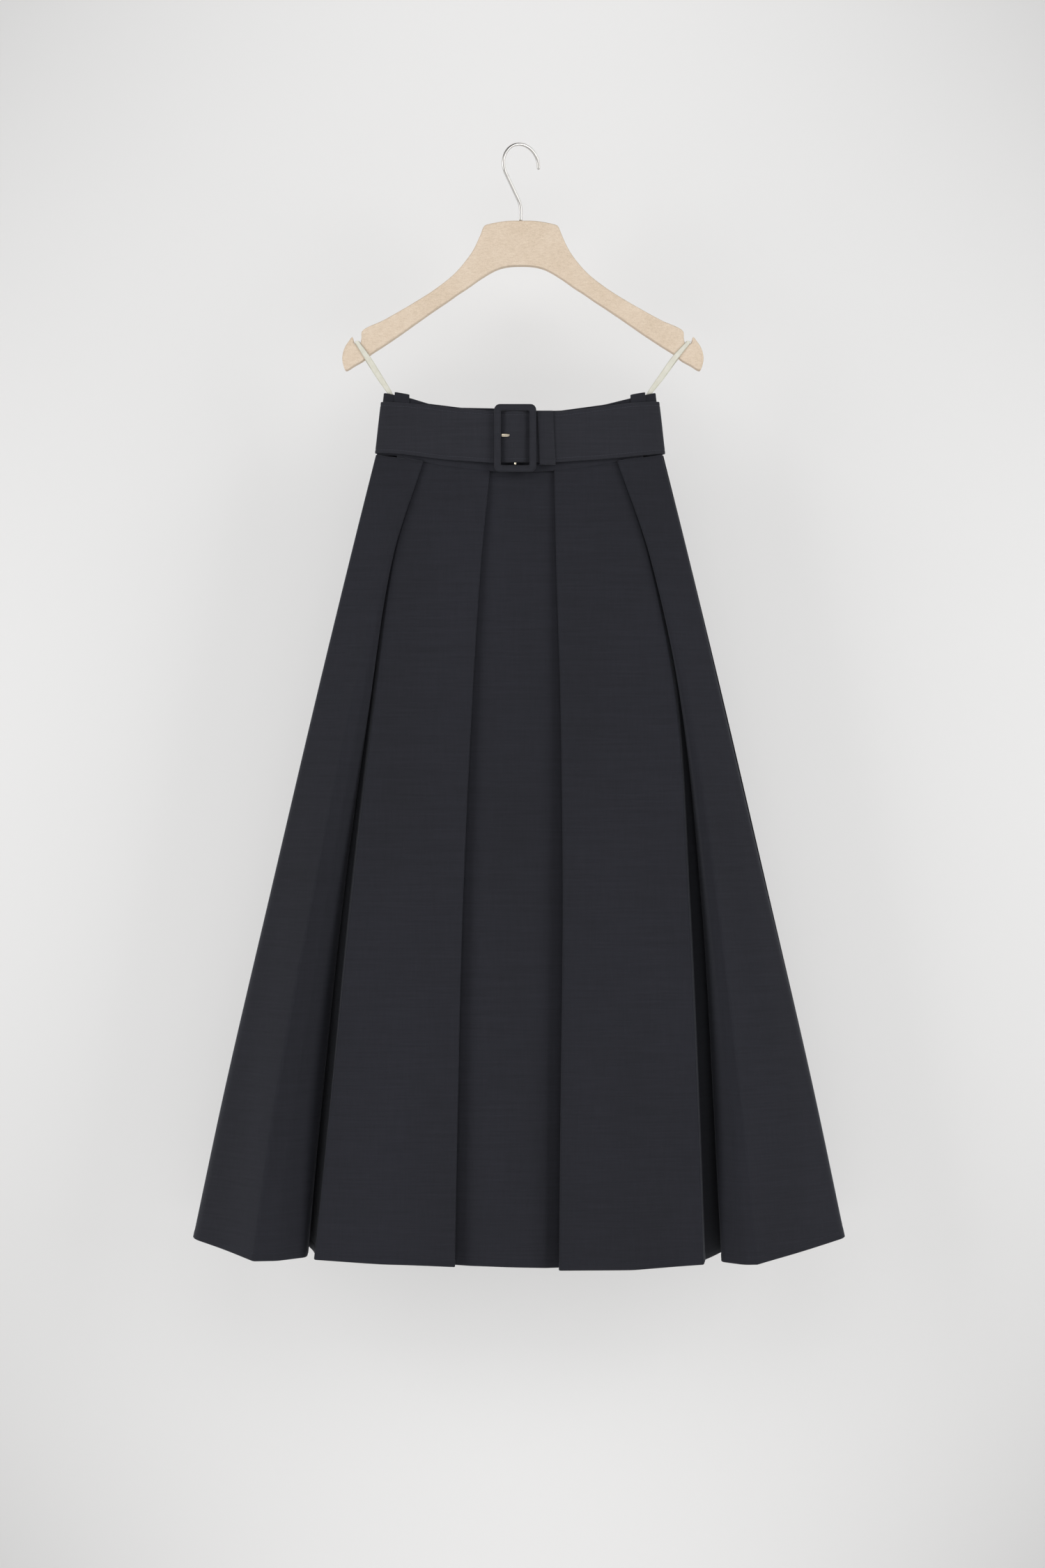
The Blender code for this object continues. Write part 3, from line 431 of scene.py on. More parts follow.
def through(points, per_span):
    """A smooth line through points, per_span steps between each two."""
    points = np.asarray(points, float)
    padded = np.vstack([2 * points[0] - points[1], points, 2 * points[-1] - points[-2]])
    out = []
    for i in range(1, len(padded) - 2):
        p0, p1, p2, p3 = padded[i - 1 : i + 3]
        for k in range(per_span):
            t = k / per_span
            out.append(
                0.5 * (2 * p1 + (p2 - p0) * t + (2 * p0 - 5 * p1 + 4 * p2 - p3) * t**2 + (3 * p1 - p0 - 3 * p2 + p3) * t**3)
            )
    out.append(points[-1])
    return np.array(out)


def sweep(path, radii, around_it=20, squash=1.0):
    """Rings round a path, millimetres, with a radius at each point."""
    path = np.asarray(path, float)
    tangent = np.gradient(path, axis=0)
    tangent /= np.linalg.norm(tangent, axis=1, keepdims=True)
    side = np.array([0.0, 1.0, 0.0]) if abs(tangent[0][1]) < 0.9 else np.array([1.0, 0.0, 0.0])
    rings = []
    for p, t, r in zip(path, tangent, radii):
        side = side - t * side.dot(t)
        side /= np.linalg.norm(side)
        other = np.cross(t, side)
        angles = np.linspace(0, 2 * math.pi, around_it, endpoint=False)
        rings.append(p + r * (np.outer(np.cos(angles), side) * squash + np.outer(np.sin(angles), other)))
    return np.array(rings)


# ---------------------------------------------------------------- finishes
class Nodes:
    """Short ways to build a finish from nodes."""

    def __init__(self, name):
        self.made = bpy.data.materials.new(name)
        self.made.use_nodes = True
        self.tree = self.made.node_tree
        self.shader = self.tree.nodes["Principled BSDF"]

    def node(self, kind, **values):
        made = self.tree.nodes.new(kind)
        for key, value in values.items():
            if hasattr(made, key):
                setattr(made, key, value)
            else:
                made.inputs[key.replace("_", " ").title()].default_value = value
        return made

    def link(self, out, into):
        self.tree.links.new(out, into)

    def put(self, name, value):
        self.shader.inputs[name].default_value = value

    def math(self, operation, a, b=None, c=None):
        made = self.tree.nodes.new("ShaderNodeMath")
        made.operation = operation
        for slot_, value in zip(made.inputs, (a, b, c)):
            if value is None:
                continue
            if isinstance(value, (int, float)):
                slot_.default_value = value
            else:
                self.link(value, slot_)
        return made.outputs[0]

    def ramp(self, fac, *stops):
        made = self.tree.nodes.new("ShaderNodeValToRGB")
        while len(made.color_ramp.elements) < len(stops):
            made.color_ramp.elements.new(0.5)
        for element, (position, colour) in zip(made.color_ramp.elements, stops):
            element.position = position
            element.color = (*colour, 1) if len(colour) == 3 else colour
        self.link(fac, made.inputs[0])
        return made.outputs[0]

    def noise(self, vector, scale, detail=4.0, rough=0.55):
        made = self.tree.nodes.new("ShaderNodeTexNoise")
        made.inputs["Scale"].default_value = scale
        made.inputs["Detail"].default_value = detail
        made.inputs["Roughness"].default_value = rough
        self.link(vector, made.inputs["Vector"])
        return made.outputs[0]

    def stretched(self, vector, x, y, z):
        made = self.tree.nodes.new("ShaderNodeMapping")
        made.inputs["Scale"].default_value = (x, y, z)
        self.link(vector, made.inputs["Vector"])
        return made.outputs[0]

    def here(self):
        made = self.tree.nodes.new("ShaderNodeTexCoord")
        return made.outputs["Object"]

    def cloth(self):
        made = self.tree.nodes.new("ShaderNodeAttribute")
        made.attribute_name = "cloth_at"
        return made.outputs["Vector"]

    def split(self, vector):
        made = self.tree.nodes.new("ShaderNodeSeparateXYZ")
        self.link(vector, made.inputs[0])
        return made.outputs

    def bump(self, height, strength, distance, before=None):
        made = self.tree.nodes.new("ShaderNodeBump")
        made.inputs["Strength"].default_value = strength
        made.inputs["Distance"].default_value = distance
        self.link(height, made.inputs["Height"])
        if before is not None:
            self.link(before, made.inputs["Normal"])
        return made.outputs[0]

    def mix(self, share, a, b):
        made = self.tree.nodes.new("ShaderNodeMix")
        made.data_type = "RGBA"
        for slot_, value in ((made.inputs[0], share), (made.inputs[6], a), (made.inputs[7], b)):
            if isinstance(value, (int, float)):
                slot_.default_value = value
            elif isinstance(value, tuple):
                slot_.default_value = (*value, 1.0)
            else:
                self.link(value, slot_)
        return made.outputs[2]


def wool(name, colour, light, stitched):
    """Fine navy wool cloth. cloth_at is (metres along, metres from the sewn edge, metres down). stitched is the distance of the
    stitch line from the edge, its dash pitch, and how much lighter the thread is."""
    m = Nodes(name)
    at = m.cloth()
    x, edge, down = m.split(at)[0:3]
    place = m.here()
    # the weave: a fine twill of 0.7 mm, slubs along the weft and the warp, and slow mottling from wear and pressing
    twill = m.math("SINE", m.math("MULTIPLY", m.math("ADD", x, m.math("MULTIPLY", down, 0.8)), 2 * math.pi / 0.0009))
    warp = m.math("SINE", m.math("MULTIPLY", x, 2 * math.pi / 0.00055))
    weave = m.math("ADD", m.math("MULTIPLY", twill, 0.6), m.math("MULTIPLY", warp, 0.4))
    weft = m.noise(m.stretched(place, 18, 18, 420), 1.0, 3.0)
    slub = m.noise(m.stretched(place, 500, 500, 26), 1.0, 3.0)
    fuzz = m.noise(place, 2600.0, 2.0, 0.7)
    mottle = m.noise(m.stretched(place, 9, 9, 3.2), 1.0, 4.0)
    tone = m.math("ADD", m.math("MULTIPLY", weft, 0.35), m.math("MULTIPLY", mottle, 0.45))
    tone = m.math("ADD", tone, m.math("MULTIPLY", slub, 0.2))
    tone = m.math("ADD", tone, m.math("MULTIPLY", m.math("SUBTRACT", fuzz, 0.5), 0.35))
    dark = tuple(c * 0.80 for c in colour)
    pale = tuple(c * 1.22 for c in colour)
    base = m.ramp(tone, (0.32, dark), (0.5, colour), (0.68, pale))
    # the stitches: dashes a fixed distance from the edge
    distance, pitch, paler = stitched
    near = m.math("SUBTRACT", 1.0, m.math("MINIMUM", m.math("DIVIDE", m.math("ABSOLUTE", m.math("SUBTRACT", edge, distance)), 0.00038), 1.0))
    dash = m.math("GREATER_THAN", m.math("FRACT", m.math("DIVIDE", x, pitch)), 0.2)
    thread = m.math("MULTIPLY", near, dash)
    base = m.mix(m.math("MULTIPLY", thread, paler), base, tuple(c * 2.4 for c in colour))
    m.link(base, m.shader.inputs["Base Color"])
    rough = m.math("ADD", 0.80, m.math("MULTIPLY", mottle, 0.16))
    m.link(rough, m.shader.inputs["Roughness"])
    m.put("Specular IOR Level", 0.22)
    m.put("Sheen Weight", light)
    m.put("Sheen Roughness", 0.42)
    m.put("Sheen Tint", (0.86, 0.9, 1.0, 1.0))
    relief = m.bump(weave, 0.16, 0.00025)
    relief = m.bump(fuzz, 0.22, 0.0004, relief)
    relief = m.bump(weft, 0.35, 0.0005, relief)
    relief = m.bump(thread, 0.5, 0.0005, relief)
    m.link(relief, m.shader.inputs["Normal"])
    return m.made


SKIRT_CLOTH = wool("navy_wool", (0.0186, 0.0192, 0.0254), 0.10, (0.0075, 0.0062, 0.22))
BELT_CLOTH = wool("navy_belt_wool", (0.0236, 0.0242, 0.0308), 0.10, (0.0036, 0.0031, 0.8))


def satin():
    m = Nodes("cream_satin")
    at = m.cloth()
    x, edge, down = m.split(at)[0:3]
    ribs = m.math("SINE", m.math("MULTIPLY", down, 2 * math.pi / 0.0006))
    stain = m.noise(m.here(), 140.0, 3.0)
    selvedge = m.math("LESS_THAN", edge, 0.0006)
    base = m.ramp(stain, (0.3, (0.735, 0.72, 0.61)), (0.7, (0.82, 0.805, 0.71)))
    base = m.mix(m.math("MULTIPLY", selvedge, 0.45), base, (0.50, 0.48, 0.39))
    m.link(base, m.shader.inputs["Base Color"])
    m.link(m.math("ADD", 0.36, m.math("MULTIPLY", stain, 0.18)), m.shader.inputs["Roughness"])
    m.put("Specular IOR Level", 0.5)
    m.put("Sheen Weight", 0.1)
    relief = m.bump(ribs, 0.25, 0.00012)
    relief = m.bump(stain, 0.2, 0.0004, relief)
    m.link(relief, m.shader.inputs["Normal"])
    return m.made


def pressed_board():
    m = Nodes("pressed_fibre_board")
    place = m.here()
    fleck = m.noise(m.stretched(place, 900, 900, 1500), 1.0, 3.0, 0.65)
    fibre = m.noise(m.stretched(place, 260, 260, 900), 1.0, 4.0, 0.6)
    cloud = m.noise(place, 26.0, 3.0)
    tone = m.math("ADD", m.math("MULTIPLY", fleck, 0.45), m.math("MULTIPLY", fibre, 0.35))
    tone = m.math("ADD", tone, m.math("MULTIPLY", cloud, 0.2))
    base = m.ramp(tone, (0.30, (0.62, 0.49, 0.35)), (0.5, (0.78, 0.64, 0.50)), (0.68, (0.88, 0.76, 0.62)))
    # painted shade: the board is darker where its pressed rim turns away from the front, by how far the surface faces
    # sideways
    turn = m.tree.nodes.new("ShaderNodeNewGeometry")
    facing = m.math("ABSOLUTE", m.split(turn.outputs["Normal"])[1])
    rim = m.math("MULTIPLY", m.math("SUBTRACT", 1.0, facing), 0.5)
    base = m.mix(rim, base, (0.56, 0.45, 0.345))
    m.link(base, m.shader.inputs["Base Color"])
    m.link(m.math("ADD", 0.66, m.math("MULTIPLY", fleck, 0.25)), m.shader.inputs["Roughness"])
    m.put("Specular IOR Level", 0.3)
    relief = m.bump(fleck, 0.35, 0.0004)
    relief = m.bump(fibre, 0.3, 0.0006, relief)
    m.link(relief, m.shader.inputs["Normal"])
    return m.made


def metal(name, colour, rough, brushed):
    m = Nodes(name)
    place = m.here()
    lines = m.noise(m.stretched(place, *brushed), 1.0, 4.0, 0.6)
    smear = m.noise(place, 180.0, 3.0)
    base = m.mix(m.math("MULTIPLY", smear, 0.35), colour, tuple(c * 0.72 for c in colour))
    m.link(base, m.shader.inputs["Base Color"])
    m.put("Metallic", 1.0)
    worn = m.math("ADD", rough, m.math("MULTIPLY", m.math("ADD", lines, smear), 0.12))
    m.link(worn, m.shader.inputs["Roughness"])
    m.link(m.bump(lines, 0.12, 0.0001), m.shader.inputs["Normal"])
    return m.made


RIBBON_CLOTH = satin()
BOARD = pressed_board()
STEEL = metal("plated_wire", (0.66, 0.645, 0.62), 0.22, (1500, 1500, 90))
GOLD = metal("pale_gold_metal", (0.93, 0.82, 0.64), 0.16, (200, 1800, 1800))

cloth_pieces = {}


def settle(piece, node):
    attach(piece, "root")
    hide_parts(node)
    cloth_pieces[node] = piece
    return piece


# ---------------------------------------------------------------- skirt panels
PER_MM = 5.5  # across
SHARES = np.concatenate([np.linspace(0, 0.02, 5)[:-1], np.linspace(0.02, 0.975, 118)[:-1], np.linspace(0.975, 1, 26)])
LONG = 872.0  # from the waist seam to the hem

# Slow folds of each panel: amplitude in mm at the hem, waves across, slant, phase.
WAVES = {
    "side_left": ((1.6, 1.1, 0.35, 0.10), (0.9, 2.3, -0.5, 0.60)),
    "front_left": ((1.3, 1.4, 0.30, 0.45), (0.6, 3.1, -0.4, 0.15)),
    "front_center": ((1.2, 1.0, 0.22, 0.80), (0.6, 2.4, 0.5, 0.35)),
    "front_right": ((1.4, 1.3, -0.25, 0.20), (0.6, 2.7, 0.4, 0.70)),
    "side_right": ((1.7, 1.2, -0.30, 0.55), (0.8, 2.1, 0.6, 0.25)),
    "back_side_left": ((1.8, 1.0, 0.30, 0.30), (0.9, 2.5, -0.4, 0.85)),
    "back_left": ((1.5, 1.4, -0.28, 0.65), (0.7, 2.8, 0.3, 0.05)),
    "back_center_left": ((1.0, 0.9, 0.25, 0.40), (0.4, 2.2, -0.4, 0.95)),
    "back_center_right": ((1.0, 0.9, -0.22, 0.75), (0.4, 2.0, 0.5, 0.50)),
    "back_right": ((1.5, 1.3, 0.30, 0.15), (0.7, 2.6, -0.3, 0.55)),
    "back_side_right": ((1.8, 1.1, -0.32, 0.90), (0.9, 2.3, 0.5, 0.20)),
}


def panel(name, rows):
    sections = [rounded_section(control_points(rows, at), 8) for at in SHARES]
    raw = np.array([[tuple(p) for p in section] for section in sections])
    # straight runs are divided so that no span is wider than PER_MM
    spans = np.linalg.norm(np.diff(raw, axis=1), axis=2).max(0)
    columns = [raw[:, :1]]
    for j, span in enumerate(spans):
        parts = max(int(math.ceil(span / PER_MM)), 1)
        for k in range(1, parts + 1):
            columns.append(raw[:, j : j + 1] + (raw[:, j + 1 : j + 2] - raw[:, j : j + 1]) * k / parts)
    points = np.concatenate(columns, 1)
    # the recessed middle panels reach up behind the waistband, and the others stop just under it
    points[:, :, 2] += (1 - SHARES)[:, None] ** 8 * (1.6 if "center" in name else -0.05)
    share = SHARES[:, None]
    steps = np.linalg.norm(np.diff(points, axis=1), axis=2)
    along = np.concatenate([np.zeros((len(points), 1)), np.cumsum(steps, 1)], 1)
    width = along[:, -1:]
    u = along / width
    down = LONG * share * np.ones_like(u)
    from_hem = LONG * (1 - share) * np.ones_like(u)
    normals = grid_normals(points)
    if name.startswith("back") and not name.endswith("right"):
        normals = -normals
    if name.endswith("right") and name.startswith("back"):
        normals = normals * 1.0
    # slow folds, nothing at the waist seam and at the panel's two joined edges
    calm = np.clip(np.minimum(u, 1 - u) * width / 45.0, 0, 1)
    calm = calm * calm * (3 - 2 * calm)
    field = np.zeros_like(u)
    for size, across, slant, phase in WAVES[name]:
        field += size * np.sin(2 * math.pi * (across * u + slant * share + phase))
    field *= (share**1.1) * calm
    # small puckers under the waist seam
    pucker = np.exp(-down / 26.0) * np.clip(down / 6.0, 0, 1)
    field += 0.16 * pucker * calm * np.sin(2 * math.pi * along / 17.0 + 3 * np.sin(along / 31.0))
    # the turned-up hem: a second layer behind, held by blind stitches 7.5 mm up
    fold = 1 / (1 + np.exp((from_hem - 7.5) / 0.5))
    field += 0.12 * fold * calm
    field -= 0.10 * np.exp(-(((from_hem - 7.6) / 1.1) ** 2)) * (1 + 0.5 * np.sin(2 * math.pi * along / 6.2)) * calm
    points = points + normals * field[..., None]
    wall = 0.95 + 0.45 * fold
    facts = np.stack([along * MM, from_hem * MM, down * MM], -1)
    made = shell(name + "_cloth", points, wall, SKIRT_CLOTH, facts=facts)
    settle(made, name)
    return made


# the left side panel's seam allowance, turned behind its neighbour so that no light comes through the seam
*_, (_, seam_x, seam_y, _) = FRONT["side_left"]
FRONT["side_left"] = FRONT["side_left"][:-1] + (
    ("inner", seam_x, seam_y, (0.3, 0.8)),
    ("allowance", (-135.8, -152.8, -172.4, -197.8, -220.2, -234.8), (-9.1, 4.2, 30.3), (0, 0)),
)

for name, rows in {**FRONT, **BACK}.items():
    panel(name, rows)


# ---------------------------------------------------------------- waist
def waist_half(side_height):
    """Half width of the waistband's inner face at a height given at the side."""
    share = (BAND_TOP_SIDE - side_height) / (BAND_TOP_SIDE - BAND_LOW_SIDE)
    return BAND_TOP_HALF + (BAND_LOW_HALF - BAND_TOP_HALF) * share


def oval(turn, half):
    """A flattened oval seen from above, at a number of quarter turns from the middle of the front towards +X."""
    s, c = math.sin(turn * math.pi / 2), math.cos(turn * math.pi / 2)
    return half * s, -math.copysign(BAND_DEPTH * max(1 - abs(s) ** 2.6, 0.0) ** 0.62, c)


def around(turn, half, out):
    """The oval's point moved outwards, square to it."""
    x0, y0 = oval(turn - 0.004, half)
    x1, y1 = oval(turn + 0.004, half)
    x, y = oval(turn, half)
    length = math.hypot(x1 - x0, y1 - y0)
    return x + out * (y1 - y0) / length, y - out * (x1 - x0) / length


QUARTER = (0.0, 0.17, 0.34, 0.5, 0.64, 0.76, 0.86, 0.93, 0.975, 1.0)  # closer together towards the side's tight turn


def turns_between(start, end):
    """Quarter-turn values from start to end that keep the spacing above."""
    marks = set()
    for whole in range(int(math.floor(start)) - 1, int(math.ceil(end)) + 1):
        for q in QUARTER:
            marks.add(round(whole + q if whole % 2 == 0 else whole + 1 - q, 5))
    inside = [m for m in sorted(marks) if start + 0.02 < m < end - 0.02]
    return [start] + inside + [end]


def finer(values, parts):
    out = []
    for a, b in zip(values, values[1:]):
        out += [a + (b - a) * k / parts for k in range(parts)]
    return out + [values[-1]]


# The waistband is one strip, open at the middle of the back over the skirt's concealed zip.
turns = finer(turns_between(-1.9993, 1.9993), 6)
shares = [0, 0.006, 0.015, 0.03, 0.05] + list(np.linspace(0.08, 0.92, 15)) + [0.95, 0.97, 0.985, 0.994, 1.0]
grid = []
for k in shares:
    row = []
    for turn in turns:
        side = BAND_TOP_SIDE + (BAND_LOW_SIDE - BAND_TOP_SIDE) * k
        x, y = around(turn, waist_half(side), 0.0)
        top = on_table(BAND_TOP, x * 152 / waist_half(side))
        low = seam_height(x * SEAM_HALF / waist_half(BAND_LOW_SIDE))
        row.append((x, y, top + (low - top) * k))
    grid.append(row)
grid = np.array(grid)
along = np.concatenate([np.zeros((len(grid), 1)), np.cumsum(np.linalg.norm(np.diff(grid, axis=1), axis=2), 1)], 1)
high = np.linalg.norm(np.diff(grid, axis=0), axis=2).sum(0)
down = np.array(shares)[:, None] * high[None, :]
ripple = 0.10 * np.sin(2 * math.pi * along / 41.0 + 2 * np.sin(along / 63.0)) * np.sin(math.pi * np.array(shares))[:, None]
grid = grid + grid_normals(grid) * ripple[..., None]
facts = np.stack([along * MM, np.ones_like(along), down * MM], -1)
band = settle(shell("waistband_cloth", grid, 1.85, SKIRT_CLOTH, lift=1.0, facts=facts, bulge=0.3), "waistband")

# Two carriers, flat loops stitched to the waistband, whose tops stand above it. The belt covers the rest.
for name, middle in zip(("carrier_left", "carrier_right"), CARRIER_X):
    grid = []
    for k in [0, 0.012, 0.03, 0.05] + list(np.linspace(0.08, 1.0, 20)):
        row = []
        for across in np.linspace(-0.5, 0.5, 9):
            x = middle + across * CARRIER_WIDE
            z = on_table(BAND_TOP, middle) + CARRIER_RISE - CARRIER_LONG * k
            half = waist_half(z + (BAND_TOP_SIDE - on_table(BAND_TOP, middle)))
            turn = math.asin(x / half) / (math.pi / 2)
            px, py = around(turn, half, BAND_WALL + SEAM_GAP + CARRIER_WALL / 2)
            row.append((px, py, z + 0.2 * (px - middle) * math.copysign(1, middle)))
        grid.append(row)
    grid = np.array(grid)
    along = np.concatenate([np.zeros((len(grid), 1)), np.cumsum(np.linalg.norm(np.diff(grid, axis=1), axis=2), 1)], 1)
    facts = np.stack([along * MM, np.ones_like(along), -grid[:, :, 2] * MM], -1)
    made = settle(shell(name + "_loop", grid, CARRIER_WALL, SKIRT_CLOTH, facts=facts), name)


# ---------------------------------------------------------------- belt
# The strap starts behind the buckle's bar, runs once round the waist, comes back to the buckle as the free end, passes
# under the frame, over the centre bar and under the frame again, and lies on the first layer round to the back.
LAYER_ONE = BAND_WALL + BELT_AIR + BELT_WALL / 2
LAYER_TWO = LAYER_ONE + BELT_WALL + SEAM_GAP
LAYER_ONE_SIDE = BAND_WALL + BELT_AIR_SIDE + BELT_WALL / 2


def ease(value, low, high):
    t = min(max((value - low) / (high - low), 0.0), 1.0)
    return t * t * (3 - 2 * t)


def belt_out(turn):
    """The strap's distance out from the waistband's inner face at a turn. It starts at 0, and 4 is back at the front."""
    within = turn % 2.0
    near_side = 1 - ease(1 - abs(within - 1), 0.78, 0.95)
    first = LAYER_ONE_SIDE + (LAYER_ONE - LAYER_ONE_SIDE) * near_side
    return first + (LAYER_TWO - LAYER_ONE) * ease(turn, 3.62, 3.82)


def strap_rise(x):
    """The bump of the strap over the centre bar."""
    reach = BUCKLE_WIDE / 2 - BUCKLE_BAR
    u = min(abs(x - BUCKLE_X) / reach, 1.0)
    return STRAP_RISE * (1 - u * u) ** 1.5 if u < 1 else 0.0


BELT_START = -0.02
turns = turns_between(BELT_START, 3.5) + [3.62, 3.72, 3.8]
turns += [4 + 2 / math.pi * math.asin((BUCKLE_X + dx) / 155) for dx in (-24, -18, -15, -12, -9, -6, -3, 0, 3, 6, 9, 12, 15, 18, 24)]
turns += [m + 4 for m in turns_between(0.2, BELT_END)]
turns = finer(turns, 4)
near_edge = [0, 0.25, 0.7, 1.4, 2.2, 2.8, 3.2, 3.6, 4.0, 4.4, 5.0, 6.5]
high = 57.0
shares = [d / high for d in near_edge] + list(np.linspace(9 / high, 1 - 9 / high, 11)) + [1 - d / high for d in reversed(near_edge)]
grid = []
for k in shares:
    row = []
    side = BELT_TOP[0][1] + (BELT_LOW[0][1] - BELT_TOP[0][1]) * k
    half = waist_half(side)
    for turn in turns:
        out = belt_out(turn)
        if 3.8 < turn < 4.2:
            out += strap_rise(oval(turn, half)[0])
        x, y = around(turn, half, out)
        across = x / (half + LAYER_TWO)
        top, low = on_table(BELT_TOP, across * 155), on_table(BELT_LOW, across * 161)
        row.append((x + BELT_SHIFT, y, top + (low - top) * k))
    grid.append(row)
grid = np.array(grid)
along = np.concatenate([np.zeros((len(grid), 1)), np.cumsum(np.linalg.norm(np.diff(grid, axis=1), axis=2), 1)], 1)
measured = np.linalg.norm(np.diff(grid, axis=0), axis=2).sum(0)
edge = np.minimum(np.array(shares), 1 - np.array(shares))[:, None] * measured[None, :]
# the topstitch draws the strap in along both edges, and the edges are a little fuller
field = -0.13 * np.exp(-(((edge - 3.6) / 0.75) ** 2)) - 0.05 * np.clip(1 - edge / 1.5, 0, 1)
field += 0.05 * np.sin(2 * math.pi * along / 23.0 + 1.5 * np.sin(along / 37.0)) * np.clip(edge / 12, 0, 1)
grid = grid + grid_normals(grid) * field[..., None]
facts = np.stack([along * MM, edge * MM, np.array(shares)[:, None] * measured[None, :] * MM], -1)
belt_wall = BELT_WALL - 0.10 - 0.18 * np.exp(-(((edge - 3.6) / 0.75) ** 2))
belt = shell("belt_strap", grid, belt_wall, BELT_CLOTH, facts=facts)

FRONT_Y = -(BAND_DEPTH + LAYER_TWO + BELT_WALL / 2)  # the strap's face on either side of the buckle
FRAME_BACK = FRONT_Y - SEAM_GAP
FRAME_FRONT = FRAME_BACK - BUCKLE_DEEP
BAR_Y = -(BAND_DEPTH + LAYER_ONE + BELT_WALL / 2 + SEAM_GAP + BAR_WIRE / 2 + 0.35)


def fine_box(cx, cz, wide, high, radius, steps, parts):
    """A rounded box's outline with its straight sides divided into parts."""
    corners = []
    for sx, sz, start in ((1, 1, 0), (-1, 1, 90), (-1, -1, 180), (1, -1, 270)):
        middle_x, middle_z = cx + sx * (wide / 2 - radius), cz + sz * (high / 2 - radius)
        corners.append(
            [
                (middle_x + radius * math.cos(math.radians(start + 90 * i / steps)), middle_z + radius * math.sin(math.radians(start + 90 * i / steps)))
                for i in range(steps + 1)
            ]
        )
    out = []
    for here, ahead in zip(corners, corners[1:] + corners[:1]):
        out += here
        (x0, z0), (x1, z1) = here[-1], ahead[0]
        out += [(x0 + (x1 - x0) * k / parts, z0 + (z1 - z0) * k / parts) for k in range(1, parts)]
    return np.array(out)


# The buckle's frame, a rounded bar covered with the belt's cloth.
outer = fine_box(BUCKLE_X, BUCKLE_Z, BUCKLE_WIDE, BUCKLE_HIGH, BUCKLE_RADIUS, 8, 24)
inner = fine_box(BUCKLE_X, BUCKLE_Z, BUCKLE_WIDE - 2 * BUCKLE_BAR, BUCKLE_HIGH - 2 * BUCKLE_BAR, 1.6, 8, 24)
angles = np.linspace(0, 2 * math.pi, 28, endpoint=False)
rings, ring_facts = [], []
run = 0.0
for i, (o, n) in enumerate(zip(outer, inner)):
    if i:
        run += float(np.linalg.norm(outer[i] - outer[i - 1]))
    c, h = (o + n) / 2, (o - n) / 2
    a = np.sign(np.cos(angles)) * np.abs(np.cos(angles)) ** (2 / 2.9)
    b = np.sign(np.sin(angles)) * np.abs(np.sin(angles)) ** (2 / 2.4)
    pucker = 1 + 0.006 * math.sin(run * 0.9) * math.sin(run * 0.23)
    depth = (FRAME_BACK + FRAME_FRONT) / 2 + b * BUCKLE_DEEP / 2 * pucker
    rings.append(np.stack([c[0] + h[0] * a, depth, c[1] + h[1] * a], -1))
    ring_facts.append([(run * MM, 1.0, float(t) * 0.0036) for t in angles])
frame_piece = settle(ring_loft("buckle_frame_cover", rings, BELT_CLOTH, facts=ring_facts), "buckle_frame")

bar_half = (BUCKLE_HIGH - 2 * BUCKLE_BAR - 2 * SEAM_GAP) / 2
ends = [0.0, 0.12, 0.4, 0.9]
heights = [-bar_half + e for e in ends] + list(np.linspace(-bar_half + 2, bar_half - 2, 12)) + [bar_half - e for e in reversed(ends)]
dome = lambda h: BAR_WIRE / 2 * math.sqrt(max(1 - max(1 - (bar_half - abs(h)) / 0.9, 0.0) ** 2, 0.02))
path = [(BUCKLE_X, BAR_Y, BUCKLE_Z + h) for h in heights]
settle(loft("buckle_bar_wire", sweep(path, [dome(h) for h in heights], 20), GOLD), "buckle_bar")

# The prong leaves the bar, comes up through a hole in the strap and rests against the frame's inner edge.
PRONG_Z = BUCKLE_Z + 3.2
PRONG = (  # x, y of its middle line
    (BUCKLE_X - BAR_WIRE / 2 - SEAM_GAP, BAR_Y + 0.1), (BUCKLE_X - 5.0, BAR_Y - 0.15), (BUCKLE_X - 9.5, BAR_Y - 1.0),
    (BUCKLE_X - 12.5, BAR_Y - 1.5), (BUCKLE_X - (BUCKLE_WIDE / 2 - BUCKLE_BAR) + SEAM_GAP, BAR_Y - 1.7),
)
line = through([(x, y, PRONG_Z) for x, y in PRONG], 8)
done = np.linspace(0, 1, len(line))
radii = [PRONG_WIDE / 2 * math.sqrt(max(1 - (1 - min(t / 0.07, 1)) ** 2, 0.03)) * math.sqrt(max(1 - (1 - min((1 - t) / 0.10, 1)) ** 2, 0.03)) for t in done]
settle(loft("prong_tongue", sweep(line, radii, 24, squash=0.5), GOLD), "prong")

hole = fine_box(BUCKLE_X - 9.25, PRONG_Z, 6.5, PRONG_WIDE + 0.7, 1.8, 6, 3)
cutter = loft("strap_hole", [[(x, FRONT_Y - 9.2, z) for x, z in hole], [(x, FRONT_Y + 2.8, z) for x, z in hole]], BELT_CLOTH)
cut = belt.modifiers.new("prong_hole", "BOOLEAN")
cut.operation, cut.object, cut.solver = "DIFFERENCE", cutter, "EXACT"
bpy.context.view_layer.update()
belt_mesh = bpy.data.meshes.new_from_object(belt.evaluated_get(bpy.context.evaluated_depsgraph_get()))
belt.modifiers.clear()
belt.data = belt_mesh
bpy.data.objects.remove(cutter, do_unlink=True)
settle(belt, "belt")

